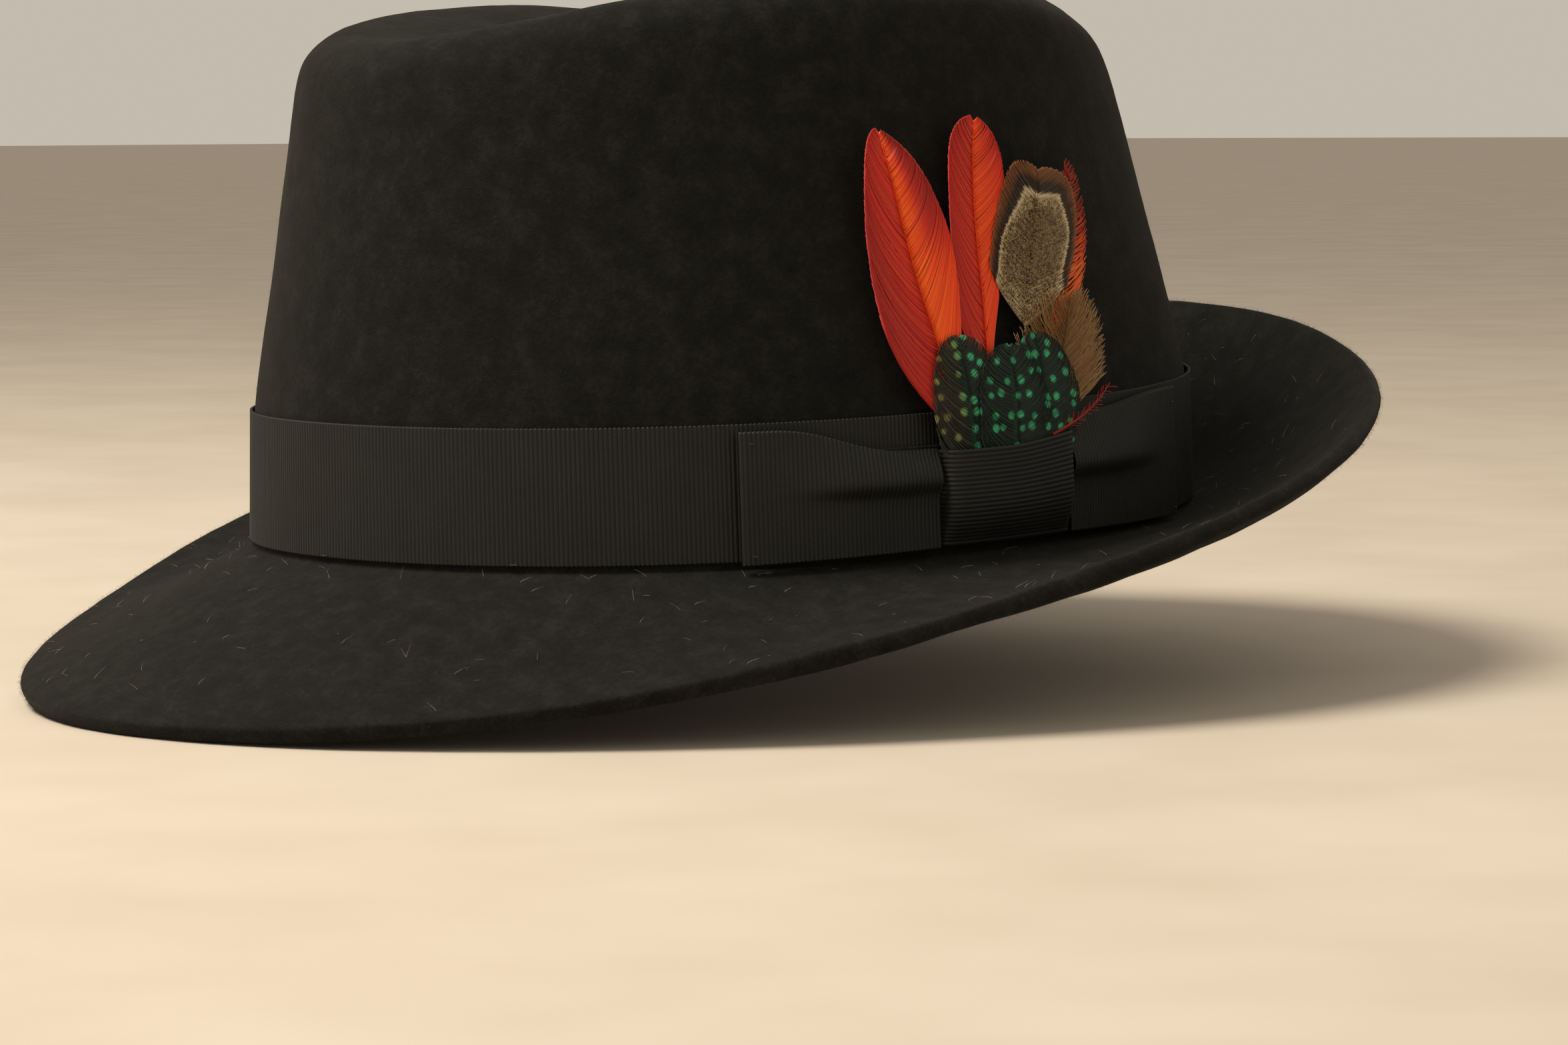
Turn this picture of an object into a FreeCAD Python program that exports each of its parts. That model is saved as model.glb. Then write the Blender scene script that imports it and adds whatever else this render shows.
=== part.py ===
import FreeCAD, Part
import math
import os

# Fedora hat with a ribbon band, a flat bow on the wearer's left and a feather mount
# tucked behind the bow's knot. Lengths are in millimetres, angles in degrees.
# The origin is the centre of the head opening, on the level where crown meets brim at
# the front. +Z is up, the front of the hat looks along -Y, the wearer's left is +X.
# Angles round the hat count from the front (0) over the wearer's left (90) to the back.

# ---- head opening
HEAD_HALF_LENGTH = 100.5
HEAD_HALF_WIDTH = 83.0
OUTLINE_POWER = 2.1
FRONT_NARROWING = 0.03

# ---- felt
CROWN_FELT = 2.2
BRIM_FELT = 3.8
FIT_GAP = 0.2
CLEARANCE = 0.3

# ---- crown
WALL_SIDE_LEAN = 10.9
WALL_FRONT_LEAN = 7.7
WALL_BACK_LEAN = 16.4
BAND_ZONE_LEAN = 3.0
BAND_LIFT = 1.2
FRONT_HEIGHT = 102.5
SIDE_HEIGHT = 114.0
BACK_HEIGHT = 101.0
LEFT_SIDE_RISE = 2.2
CORNER_RADIUS = 9.9
DENT_DEPTH = 18.0
DENT_FLOOR_HALF_LENGTH = 20.0
DENT_FLOOR_HALF_WIDTH = 4.0
DENT_REACHES = (0.0, 0.12, 0.3, 0.5, 0.7, 0.86)
CORNER_TURNS = (90.0, 60.0, 30.0)
WALL_STEPS = 9

# ---- brim, given by where its edge runs
BRIM_EDGE_HALF_WIDTH = 127.9
BRIM_EDGE_FRONT = 154.4
BRIM_EDGE_BACK = 139.0
BRIM_EDGE_POWER = 1.94
BRIM_EDGE_SWELL = 0.024
BRIM_FRONT_DROP = 24.9
BRIM_SIDE_RISE = 5.0
BRIM_BACK_RISE = 43.8
BRIM_QUARTER_DIP = 1.4
BRIM_SIDE_SAG = 3.6
BREAK_BACK_RISE = 6.8
BREAK_RADIUS = 2.0
BRIM_REACHES = (0.03, 0.1, 0.26, 0.44, 0.6, 0.76, 0.9, 1.0)
EDGE_BULGE = 0.42
EDGE_PLACES = (0.12, 0.88)

# ---- ribbon
RIBBON_WIDTH = 26.5
RIBBON_THICKNESS = 0.6
RIBBON_GAP = 0.15
BOW_FRONT_ANGLE = 56.0
BOW_REAR_ANGLE = 119.0
KNOT_FRONT_ANGLE = 78.9
KNOT_REAR_ANGLE = 96.1
KNOT_FULLNESS = 5.0
LOOP_LIFT = 1.1
PLEAT_LIFT = 1.9
PLEAT_HEIGHT = 14.4
PLEAT_STEPS = (-8.5, -3.0, -1.5, 0.0, 2.0, 5.0)
FRONT_LOOP_FOOT = 1.6
FRONT_LOOP_PINCHED_TOP = 20.9
FRONT_LOOP_TOP_DROP = 0.2
REAR_LOOP_FOOT = 1.8
REAR_LOOP_PINCHED_TOP = 25.2
REAR_LOOP_TOP_RISE = 0.6
LOOP_FOOT_DROP = 0.9
KNOT_FOOT = 1.9
KNOT_TOP_DROP = 5.9
KNOT_TOP_SLANT = 1.6
TACK_HEIGHT = 1.6
TACK_ANGLES = (0, 30, 140, 165, 195, 220, 250, 275, 300, 330)
BACKING_THICKNESS = 0.5
SEWN_GAP = 0.25
THREAD_RADIUS = 0.15

# ---- inside of the crown
SWEATBAND_THICKNESS = 1.1
SWEATBAND_HEIGHT = 36.0
SWEATBAND_FLARE = 1.2
SWEATBAND_STEPS = 8
REAR_BOW_HALF_ANGLE = 5.0
REAR_BOW_HEIGHT = 12.0
REAR_BOW_THICKNESS = 0.7
REAR_BOW_WAIST = 1.1
REAR_BOW_SPREAD = 2.2
REED_RADIUS = 0.8
REED_TAPE_THICKNESS = 0.35
SWEATBAND_STITCH_COUNT = 120
STITCH_LENGTH = 2.2
STITCH_RADIUS = 0.25
LINING_THICKNESS = 0.3
LINING_GAP = 0.7
LINING_TUCK = 6.0
PIPING_RADIUS = 0.7
TIP_SHIELD_THICKNESS = 0.25
TIP_SHIELD_REACH = 0.5
TIP_LAST_TURN = 8.0

# ---- feather mount: along is measured round the crown from FAN_ANGLE towards the back
FAN_ANGLE = 88.0
QUILL_WIDTH = 1.2
VANE_THICKNESS = 0.35
VANE_GAP = 0.1
VANE_SIDES = (-1.0, -0.5, 0.0, 0.5, 1.0)
CARD_THICKNESS = 0.4
CARD_HALF_WIDTH = 8.4
CARD_BOTTOM = 7.0
CARD_HEIGHT = 11.0
BINDING_BOTTOM = 11.0
BINDING_HEIGHT = 3.0
BINDING_SQUARENESS = 8
LOOSE_QUILL_RADIUS = 0.35
QUILL_SWING = 0.2
VANE_SWELL = 0.45
BINDING_THICKNESS = 0.3

LEVEL_TOLERANCE = 1e-4
RING_STEPS = 120
SECTOR_STEPS = 15
RING = [360.0 * i / RING_STEPS for i in range(RING_STEPS)]
CROWN_WALL = SWEATBAND_THICKNESS + FIT_GAP + CROWN_FELT
BASE_HALF_LENGTH = HEAD_HALF_LENGTH + CROWN_WALL
BASE_HALF_WIDTH = HEAD_HALF_WIDTH + CROWN_WALL


# ---------------------------------------------------------------- small vector helpers
def add(p, q, k=1.0):
    return (p[0] + k * q[0], p[1] + k * q[1], p[2] + k * q[2])


def mix(p, q, t):
    return add(p, add(q, p, -1.0), t)


def unit(p):
    size = math.sqrt(p[0] ** 2 + p[1] ** 2 + p[2] ** 2)
    return (p[0] / size, p[1] / size, p[2] / size)


def cross(p, q):
    return (p[1] * q[2] - p[2] * q[1], p[2] * q[0] - p[0] * q[2], p[0] * q[1] - p[1] * q[0])


def smooth(t):
    t = min(max(t, 0.0), 1.0)
    return t * t * (3.0 - 2.0 * t)


def spread(low, high, count):
    return [low + (high - low) * i / (count - 1) for i in range(count)]


def grid_normals(grid, closed):
    """Unit normal at each point of grid[i][j]; closed says that i runs round a ring."""
    rows, columns = len(grid), len(grid[0])
    normals = []
    for i in range(rows):
        before = grid[i - 1] if closed or i > 0 else grid[i]
        after = grid[(i + 1) % rows] if closed or i < rows - 1 else grid[i]
        line = []
        for j in range(columns):
            along = add(after[j], before[j], -1.0)
            across = add(grid[i][min(j + 1, columns - 1)], grid[i][max(j - 1, 0)], -1.0)
            line.append(unit(cross(along, across)))
        normals.append(line)
    return normals


# ---------------------------------------------------------------- surfaces and solids
def turned(grid):
    """The same points with rows and columns changed over."""
    return [list(line) for line in zip(*grid)]


def with_end_lines(lines):
    """Adds a line a third of the way in at each end, so the surface keeps its pace there."""
    if len(lines) == 2:
        return lines
    first = [mix(p, q, 1 / 3) for p, q in zip(lines[0], lines[1])]
    last = [mix(p, q, 1 / 3) for p, q in zip(lines[-1], lines[-2])]
    return [lines[0], first] + lines[1:-1] + [last, lines[-1]]


def round_knots(count):
    """Knots, how often each is repeated, degree, and True because it closes on itself."""
    return list(range(count + 1)), [1] * (count + 1), 3, True


STRAIGHT_KNOTS = ([0.0, 1.0], [2, 2], 1, False)


def open_knots(lines):
    """The same for an open run of lines, with knots as far apart as the lines are."""
    if len(lines) == 2:
        return STRAIGHT_KNOTS
    reached = [0.0]
    for before, after in zip(lines, lines[1:]):
        gaps = [math.dist(p, q) for p, q in zip(before, after)]
        reached.append(reached[-1] + sum(gaps) / len(gaps))
    knots = [0.0] + reached[2:-2] + [reached[-1]]
    return knots, [4] + [1] * (len(knots) - 2) + [4], 3, False


def face_from_poles(poles, u, v):
    """B-spline face over poles[i][j], with knots u along i and v along j."""
    vectors = [[FreeCAD.Vector(*p) for p in line] for line in poles]
    surface = Part.BSplineSurface()
    surface.buildFromPolesMultsKnots(
        vectors, u[1], v[1], u[0], v[0], u[3], v[3], u[2], v[2])
    return surface.toShape()


def one_face(poles, u, v):
    return [face_from_poles(poles, u, v)]


def cuts(knots, step):
    """Every step-th knot, with the last one."""
    places = knots[:-1:step]
    return list(zip(places, places[1:] + [knots[-1]]))


def small_faces(poles, u, v, v_step=None):
    """The same surface as a patchwork: a ring in sectors, and every v_step knots along v."""
    whole = face_from_poles(poles, u, v).Surface
    faces = []
    for u_low, u_high in cuts(u[0], SECTOR_STEPS):
        for v_low, v_high in cuts(v[0], v_step or len(v[0])):
            patch = whole.copy()
            patch.segment(u_low, u_high, v_low, v_high)
            faces.append(patch.toShape())
    return faces


def solid_from_faces(faces):
    skin = Part.Compound(faces)
    skin.sewShape()
    shell = skin.Shells[0] if skin.Shells else Part.Shell(skin.Faces)
    solid = Part.Solid(shell)
    if solid.Volume < 0:
        solid.reverse()
    return solid


def flat_cap(faces, height):
    """Flat face over the edges of faces that lie at one height."""
    edges = []
    for face in faces:
        for edge in face.Edges:
            box = edge.BoundBox
            if abs(box.ZMin - height) < LEVEL_TOLERANCE and abs(box.ZMax - height) < LEVEL_TOLERANCE:
                edges.append(edge)
    return Part.Face(Part.Wire(Part.sortEdges(edges)[0]))


def tube_solid(rings):
    """Closed solid through rings of poles; its first and last ring are level and flat."""
    rings = with_end_lines(rings)
    faces = small_faces(turned(rings), round_knots(len(rings[0])), open_knots(rings), 2)
    caps = [flat_cap(faces, ring[0][2]) for ring in (rings[0], rings[-1])]
    return solid_from_faces(faces + caps)


def hoop_solid(path, radius_out, radius_in=0.0, count=8):
    """Round cord along a closed path; radius_in above zero makes it a hollow sleeve."""
    skins = []
    for radius in (radius_out, radius_in):
        if radius > 0:
            poles = []
            for i, centre in enumerate(path):
                ahead = add(path[(i + 1) % len(path)], path[i - 1], -1.0)
                side = unit(cross(ahead, (0, 0, 1)))
                up = unit(cross(side, ahead))
                grow = radius / (1.0 - (2 * math.pi / count) ** 2 / 6.0)
                ring = []
                for k in range(count):
                    turn = 2 * math.pi * k / count
                    spot = add(centre, side, grow * math.cos(turn))
                    ring.append(add(spot, up, grow * math.sin(turn)))
                poles.append(ring)
            faces = small_faces(poles, round_knots(len(poles)), round_knots(count))
            skins.append(solid_from_faces(faces))
    return skins[0] if len(skins) == 1 else skins[0].cut(skins[1])


def sheet_solid(grid, thickness, closed=False):
    """Sheet of even thickness whose middle runs through grid[i][j]."""
    if not closed:
        grid = with_end_lines(grid)
    grid = turned(with_end_lines(turned(grid)))
    u = round_knots(len(grid)) if closed else open_knots(grid)
    v = open_knots(turned(grid))
    normals = grid_normals(grid, closed)
    sides = []
    for half in (-0.5, 0.5):
        lines = []
        for points, ways in zip(grid, normals):
            lines.append([add(p, n, half * thickness) for p, n in zip(points, ways)])
        sides.append(lines)
    inner, outer = sides
    patches = small_faces if closed else one_face
    faces = patches(inner, u, v) + patches(outer, u, v)
    for j in (0, -1):
        rim = [[inner[i][j], outer[i][j]] for i in range(len(grid))]
        faces += patches(rim, u, STRAIGHT_KNOTS)
    if not closed:
        for i in (0, -1):
            rim = [[p, q] for p, q in zip(inner[i], outer[i])]
            faces += one_face(rim, v, STRAIGHT_KNOTS)
    return solid_from_faces(faces)


def thread(start, end, radius):
    """One straight stitch of thread."""
    way = FreeCAD.Vector(*add(end, start, -1.0))
    return Part.makeCylinder(radius, way.Length, FreeCAD.Vector(*start), way)


# ---------------------------------------------------------------- shape of the felt
def break_height(theta):
    """Height of the line where the crown turns into the brim."""
    return BREAK_BACK_RISE * ((1 - math.cos(math.radians(theta))) / 2) ** 1.5


def ridge_height(theta):
    """Height of the crown's top edge; it stands a little higher on the wearer's left."""
    s, c = math.sin(math.radians(theta)), math.cos(math.radians(theta))
    ends = (FRONT_HEIGHT + BACK_HEIGHT) / 2 + (FRONT_HEIGHT - BACK_HEIGHT) / 2 * c
    return SIDE_HEIGHT + (ends - SIDE_HEIGHT) * c * c + LEFT_SIDE_RISE * s


def oval(theta, front, back, half_width, power, z):
    """Point of an egg-shaped outline; front and back are its reach along -Y and +Y."""
    s, c = math.sin(math.radians(theta)), math.cos(math.radians(theta))
    k = (abs(s) ** power + abs(c) ** power) ** (-1.0 / power)
    middle, half_length = (back - front) / 2, (back + front) / 2
    x = half_width * k * s * (1 - FRONT_NARROWING * c)
    return (x, middle - half_length * k * c, z)


def wall(theta, z, out=0.0):
    """Point on the outside of the crown's wall at height z, moved out by out.

    The wall is nearly upright behind the band and leans in from the band's top edge up.
    """
    above = max(z - break_height(theta) - BAND_LIFT - RIBBON_WIDTH, 0.0)
    below = z - above
    front = BASE_HALF_LENGTH - above * math.tan(math.radians(WALL_FRONT_LEAN))
    back = BASE_HALF_LENGTH - above * math.tan(math.radians(WALL_BACK_LEAN))
    side = BASE_HALF_WIDTH - above * math.tan(math.radians(WALL_SIDE_LEAN))
    side -= below * math.tan(math.radians(BAND_ZONE_LEAN))
    return oval(theta, front + out, back + out, side + out, OUTLINE_POWER, z)


def brim_edge(theta):
    """Upper edge of the brim; it swells a little at the front and beside the back."""
    c = math.cos(math.radians(theta))
    height = BRIM_SIDE_RISE * (1 - c * c)
    height += BRIM_BACK_RISE * (c * c - c) / 2 - BRIM_FRONT_DROP * (c * c + c) / 2
    height -= BRIM_QUARTER_DIP * math.sin(math.radians(2 * theta)) ** 2
    swell = 1 + BRIM_EDGE_SWELL * math.cos(math.radians(3 * theta))
    return oval(theta, BRIM_EDGE_FRONT * swell, BRIM_EDGE_BACK * swell,
                BRIM_EDGE_HALF_WIDTH * swell, BRIM_EDGE_POWER, height)


def brim_point(theta, t):
    """Point on top of the brim, t from 0 at the crown to 1 at the edge."""
    c, s = math.cos(math.radians(theta)), math.sin(math.radians(theta))
    start = wall(theta, break_height(theta))
    end = brim_edge(theta)
    flat = mix(start, end, t)
    rise = (end[2] - start[2]) * t ** (1.3 - 0.2 * c)
    return (flat[0], flat[1], start[2] + rise - BRIM_SIDE_SAG * 4 * t * (1 - t) * s * s)


def crown_top(theta, t, sink=0.0):
    """Point on the crown's top, t from 0 on the dent's floor to 1 on the ridge."""
    ridge = ridge_height(theta)
    floor = SIDE_HEIGHT - DENT_DEPTH
    rim = wall(theta, ridge, -CORNER_RADIUS)
    core = oval(theta, DENT_FLOOR_HALF_LENGTH, DENT_FLOOR_HALF_LENGTH,
                DENT_FLOOR_HALF_WIDTH, 2.0, 0.0)
    flat = mix(core, rim, t)
    return (flat[0], flat[1], floor + (ridge - floor) * smooth(t) - sink)


def crown_corner(theta, turn):
    """Point on the rounded shoulder, turn from 0 on the wall to 90 on the ridge."""
    s, c = math.sin(math.radians(turn)), math.cos(math.radians(turn))
    return wall(theta, ridge_height(theta) - CORNER_RADIUS * (1 - s), -CORNER_RADIUS * (1 - c))


def felt_lines():
    """Outside of the felt: one line for each angle, from the dent's floor to the edge."""
    lines = []
    for theta in RING:
        low = break_height(theta)
        shoulder = ridge_height(theta) - CORNER_RADIUS
        line = [crown_top(theta, t) for t in DENT_REACHES]
        line += [crown_corner(theta, turn) for turn in CORNER_TURNS]
        line += [wall(theta, z) for z in spread(shoulder, low + 2 * BREAK_RADIUS, WALL_STEPS)]
        line.append(wall(theta, low + 0.6 * BREAK_RADIUS))
        line.append(wall(theta, low))
        line += [brim_point(theta, t) for t in BRIM_REACHES]
        lines.append(line)
    return lines


# ---------------------------------------------------------------- felt
def felt_body():
    """Crown and brim in one piece of felt, with a round raw edge."""
    outside = felt_lines()
    normals = grid_normals(outside, True)
    last = len(outside[0]) - 1
    foot = len(DENT_REACHES) + len(CORNER_TURNS) + WALL_STEPS - 1
    rings = turned(outside)
    inside = []
    for j in range(last + 1):
        thick = CROWN_FELT + (BRIM_FELT - CROWN_FELT) * smooth((j - foot) / (last - foot))
        ring = []
        for line, ways in zip(outside, normals):
            inward = (0.0, 0.0, -1.0) if j == 0 else ways[j]
            ring.append(add(line[j], inward, thick))
        inside.append(ring)
    rim = []
    for top, low, line in zip(rings[-1], inside[-1], outside):
        outward = unit(add(line[-1], line[-2], -1.0))
        rim.append([add(mix(top, low, k), outward, EDGE_BULGE * BRIM_FELT) for k in EDGE_PLACES])
    edge = [[pair[k] for pair in rim] for k in (0, 1)]
    return tube_solid(rings + edge + inside[::-1])


# ---------------------------------------------------------------- ribbon and bow
def ribbon_middle():
    return RIBBON_GAP + RIBBON_THICKNESS / 2


def band_point(theta, up, out):
    """Point over the band: up is measured from the brim, out from the felt."""
    return wall(theta, break_height(theta) + up, out)


def hat_band():
    grid = []
    for theta in RING:
        grid.append([band_point(theta, up, ribbon_middle())
                     for up in (BAND_LIFT, BAND_LIFT + RIBBON_WIDTH)])
    return sheet_solid(grid, RIBBON_THICKNESS, True)


def over_band(layer_gap=0.1):
    """Height of the band's outer face above the felt, with a little room."""
    return RIBBON_GAP + RIBBON_THICKNESS + layer_gap


def band_join_stitches():
    """Whip stitches that close the band's ends, hidden under the bow."""
    stitches = []
    out = over_band(0.0) + THREAD_RADIUS
    for up in spread(5.0, RIBBON_WIDTH - 4.0, 7):
        start = band_point(FAN_ANGLE - 0.6, up, out)
        end = band_point(FAN_ANGLE + 0.6, up + 0.8, out)
        stitches.append(thread(start, end, THREAD_RADIUS))
    return Part.Compound(stitches)


def band_tack_stitches():
    """Small stitches along the band's lower edge that hold it to the felt."""
    stitches = []
    out = over_band(0.0) + THREAD_RADIUS
    for theta in TACK_ANGLES:
        start = band_point(theta - 0.5, TACK_HEIGHT, out)
        end = band_point(theta + 0.5, TACK_HEIGHT, out)
        stitches.append(thread(start, end, THREAD_RADIUS))
    return Part.Compound(stitches)


def backing_out():
    """Inner face of the bow's backing: over the band's join stitches."""
    return over_band() + 2 * THREAD_RADIUS


def bow_backing_strip():
    """Flat strip that the bow is sewn to."""
    middle = backing_out() + BACKING_THICKNESS / 2
    grid = []
    for theta in spread(BOW_FRONT_ANGLE + 4, BOW_REAR_ANGLE - 4, 16):
        grid.append([band_point(theta, up, middle) for up in (4.0, RIBBON_WIDTH - 5.0)])
    return sheet_solid(grid, BACKING_THICKNESS)


def bow_base():
    """Inner face of the bow's loops and knot."""
    return backing_out() + BACKING_THICKNESS + SEWN_GAP


def loop_fold(fold_angle, knot_angle, ups, lift):
    """Grid of a flat loop: outer layer from the knot to the fold, then back inside."""
    low = bow_base() + RIBBON_THICKNESS / 2
    grid = []
    for t in spread(0.0, 0.96, 11):
        theta = knot_angle + (fold_angle - knot_angle) * t
        grid.append([band_point(theta, up, low + LOOP_LIFT + lift(up, t)) for up in ups(t)])
    for out in (LOOP_LIFT * 0.9, LOOP_LIFT * 0.1):
        grid.append([band_point(fold_angle, up, low + out) for up in ups(1.0)])
    for t in spread(0.96, 0.0, 11):
        theta = knot_angle + (fold_angle - knot_angle) * t
        grid.append([band_point(theta, up, low) for up in ups(t)])
    return grid


def pleat(up, t):
    """The knot draws the loop into one pleat that stands out and dies away at the fold."""
    strength = PLEAT_LIFT * (1 - smooth((t - 0.35) / 0.5)) * (0.8 + 0.2 * smooth(t / 0.2))
    if up > PLEAT_HEIGHT:
        return strength * (1 - smooth((up - PLEAT_HEIGHT) / (RIBBON_WIDTH - PLEAT_HEIGHT)))
    return strength * (1 - smooth((PLEAT_HEIGHT - up) / 2.5))


def bow_heights(low, pinched_top, free_top, t):
    """Heights up the loop, closer together at the pleat; t is 0 at the knot."""
    top = pinched_top + (free_top - pinched_top) * smooth((t - 0.2) / 0.6)
    return [low] + [PLEAT_HEIGHT + step for step in PLEAT_STEPS] + [top]


def bow_front_loop():
    def ups(t):
        free_top = RIBBON_WIDTH - FRONT_LOOP_TOP_DROP
        return bow_heights(FRONT_LOOP_FOOT - LOOP_FOOT_DROP * t, FRONT_LOOP_PINCHED_TOP, free_top, t)
    return sheet_solid(loop_fold(BOW_FRONT_ANGLE, KNOT_FRONT_ANGLE - 0.5, ups, pleat),
                       RIBBON_THICKNESS)


def bow_rear_loop():
    def ups(t):
        free_top = RIBBON_WIDTH + REAR_LOOP_TOP_RISE
        return bow_heights(REAR_LOOP_FOOT - LOOP_FOOT_DROP * t, REAR_LOOP_PINCHED_TOP, free_top, t)
    return sheet_solid(loop_fold(BOW_REAR_ANGLE, KNOT_REAR_ANGLE + 0.5, ups, pleat),
                       RIBBON_THICKNESS)


def bow_knot():
    """Ribbon drawn over the middle of the bow: a pouch that is open at the top."""
    low = bow_base() + RIBBON_THICKNESS / 2
    across = ((0.0, 0.0), (0.0, 0.45), (0.03, 0.84), (0.15, 0.95), (0.32, 0.99), (0.5, 1.0),
              (0.68, 0.99), (0.85, 0.95), (0.97, 0.84), (1.0, 0.45), (1.0, 0.0))
    grid = []
    for place, height in across:
        theta = KNOT_FRONT_ANGLE + (KNOT_REAR_ANGLE - KNOT_FRONT_ANGLE) * place
        top = RIBBON_WIDTH - KNOT_TOP_DROP + KNOT_TOP_SLANT * smooth((place - 0.45) / 0.55)
        line = []
        for t in (0.0, 0.06, 0.16, 0.35, 0.6, 0.85, 1.0):
            out = low + KNOT_FULLNESS * height * (0.25 + 0.75 * smooth(t / 0.3))
            line.append(band_point(theta, KNOT_FOOT + (top - KNOT_FOOT) * t, out))
        grid.append(line)
    return sheet_solid(grid, RIBBON_THICKNESS)


def bow_tack_stitches():
    """Stitches at the bow's corners."""
    stitches = []
    out = bow_base() + LOOP_LIFT + RIBBON_THICKNESS + THREAD_RADIUS
    for theta in (BOW_FRONT_ANGLE + 1.2, BOW_REAR_ANGLE - 1.2):
        for up in (2.5, RIBBON_WIDTH - 2.5):
            start = band_point(theta - 0.3, up, out)
            end = band_point(theta + 0.3, up, out)
            stitches.append(thread(start, end, THREAD_RADIUS))
    return Part.Compound(stitches)


# ---------------------------------------------------------------- sweatband
def sweatband_out(t):
    """Middle of the leather, measured from the felt's outside; t runs up the band."""
    return -(CROWN_FELT + FIT_GAP + SWEATBAND_THICKNESS / 2 + SWEATBAND_FLARE * t)


def sweatband():
    grid = []
    for theta in RING:
        grid.append([band_point(theta, -1.0 + (SWEATBAND_HEIGHT + 1.0) * t, sweatband_out(t))
                     for t in spread(0.0, 1.0, SWEATBAND_STEPS)])
    return sheet_solid(grid, SWEATBAND_THICKNESS, True)


def reed_path():
    """The reed runs just under the leather's lower edge."""
    sleeve = REED_RADIUS + REED_TAPE_THICKNESS + 0.05
    return [band_point(theta, -1.3 - sleeve, sweatband_out(0.0)) for theta in RING]


def sweatband_reed():
    return hoop_solid(reed_path(), REED_RADIUS)


def reed_tape():
    """Woven sleeve round the reed."""
    inner = REED_RADIUS + 0.05
    return hoop_solid(reed_path(), inner + REED_TAPE_THICKNESS, inner)


def sweatband_stitches():
    """Row of stitches along the leather's lower edge."""
    stitches = []
    out = sweatband_out(0.07) - SWEATBAND_THICKNESS / 2 - STITCH_RADIUS - 0.1
    girth = 2 * math.pi * (HEAD_HALF_LENGTH + HEAD_HALF_WIDTH) / 2
    half = 180.0 * STITCH_LENGTH / girth
    for i in range(SWEATBAND_STITCH_COUNT):
        theta = 360.0 * (i + 0.5) / SWEATBAND_STITCH_COUNT
        start = band_point(theta - half, 1.5, out)
        end = band_point(theta + half, 1.5, out)
        stitches.append(thread(start, end, STITCH_RADIUS))
    return Part.Compound(stitches)


def sweatband_rear_bow():
    """Small bow of narrow ribbon that marks the back and covers the leather's join."""
    grid = []
    for t in spread(-1.0, 1.0, 13):
        half = REAR_BOW_WAIST + REAR_BOW_SPREAD * math.sin(min(abs(t) * 2.2, 1.9))
        line = []
        for side in spread(-1.0, 1.0, 5):
            out = sweatband_out(0.35) - SWEATBAND_THICKNESS / 2 - REAR_BOW_THICKNESS / 2 - FIT_GAP
            angle = 180.0 + REAR_BOW_HALF_ANGLE * t
            line.append(band_point(angle, REAR_BOW_HEIGHT + half * side, out))
        grid.append(line)
    return sheet_solid(grid, REAR_BOW_THICKNESS)


# ---------------------------------------------------------------- lining
def lining_depth():
    """How far the lining's outer face lies inside the felt's outside."""
    return CROWN_FELT + LINING_GAP


def piping_height(theta):
    return ridge_height(theta) - CORNER_RADIUS - 2 * PIPING_RADIUS


def lining_side():
    middle = -(lining_depth() + LINING_THICKNESS / 2)
    grid = []
    for theta in RING:
        low = break_height(theta) + SWEATBAND_HEIGHT - LINING_TUCK
        high = piping_height(theta) - PIPING_RADIUS - CLEARANCE
        grid.append([wall(theta, z, middle) for z in (low, high)])
    return sheet_solid(grid, LINING_THICKNESS, True)


def lining_seam_piping():
    """Cord sewn in where the lining's side meets its tip."""
    out = -(lining_depth() + PIPING_RADIUS + 0.1)
    path = []
    for theta in RING:
        path.append(wall(theta, piping_height(theta), out))
    return hoop_solid(path, PIPING_RADIUS)


def top_layer(depth, thickness, reaches, turns):
    """Layer under the crown's top: over the dent at each reach, then round the shoulder."""
    lines = []
    for theta in RING:
        line = [crown_top(theta, t) for t in reaches]
        line += [crown_corner(theta, turn) for turn in turns]
        lines.append(line)
    normals = grid_normals(lines, True)
    rings = []
    for sink, order in ((depth, 1), (depth + thickness, -1)):
        for j in range(len(lines[0]))[::order]:
            ring = []
            for line, ways in zip(lines, normals):
                inward = (0.0, 0.0, -1.0) if j == 0 else ways[j]
                ring.append(add(line[j], inward, sink))
            rings.append(ring)
    return tube_solid(rings)


def lining_tip():
    """Satin under the crown's top, turned down at the shoulder to meet the side."""
    turns = CORNER_TURNS + (TIP_LAST_TURN,)
    return top_layer(lining_depth(), LINING_THICKNESS, DENT_REACHES, turns)


def lining_tip_shield():
    """Clear sheet under the middle of the tip."""
    depth = lining_depth() + LINING_THICKNESS + LINING_GAP
    reaches = spread(0.0, TIP_SHIELD_REACH, 8)
    return top_layer(depth, TIP_SHIELD_THICKNESS, reaches, ())


# ---------------------------------------------------------------- feather mount
def degree_length():
    """Length of one degree round the crown at the bow."""
    p, q = wall(FAN_ANGLE - 0.5, RIBBON_WIDTH), wall(FAN_ANGLE + 0.5, RIBBON_WIDTH)
    return math.dist(p, q)


def fan_point(along, z, out):
    return wall(FAN_ANGLE + along / degree_length(), z, out)


def card_out():
    """Inner face of the card: over the binding, clear of the bow's backing."""
    return bow_base() + CLEARANCE - SEWN_GAP + BINDING_THICKNESS + VANE_GAP


def layer_out(layer):
    """Inner face of a vane; layer 0 lies next to the card."""
    return card_out() + CARD_THICKNESS + VANE_GAP + layer * (VANE_THICKNESS + VANE_GAP)


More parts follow.
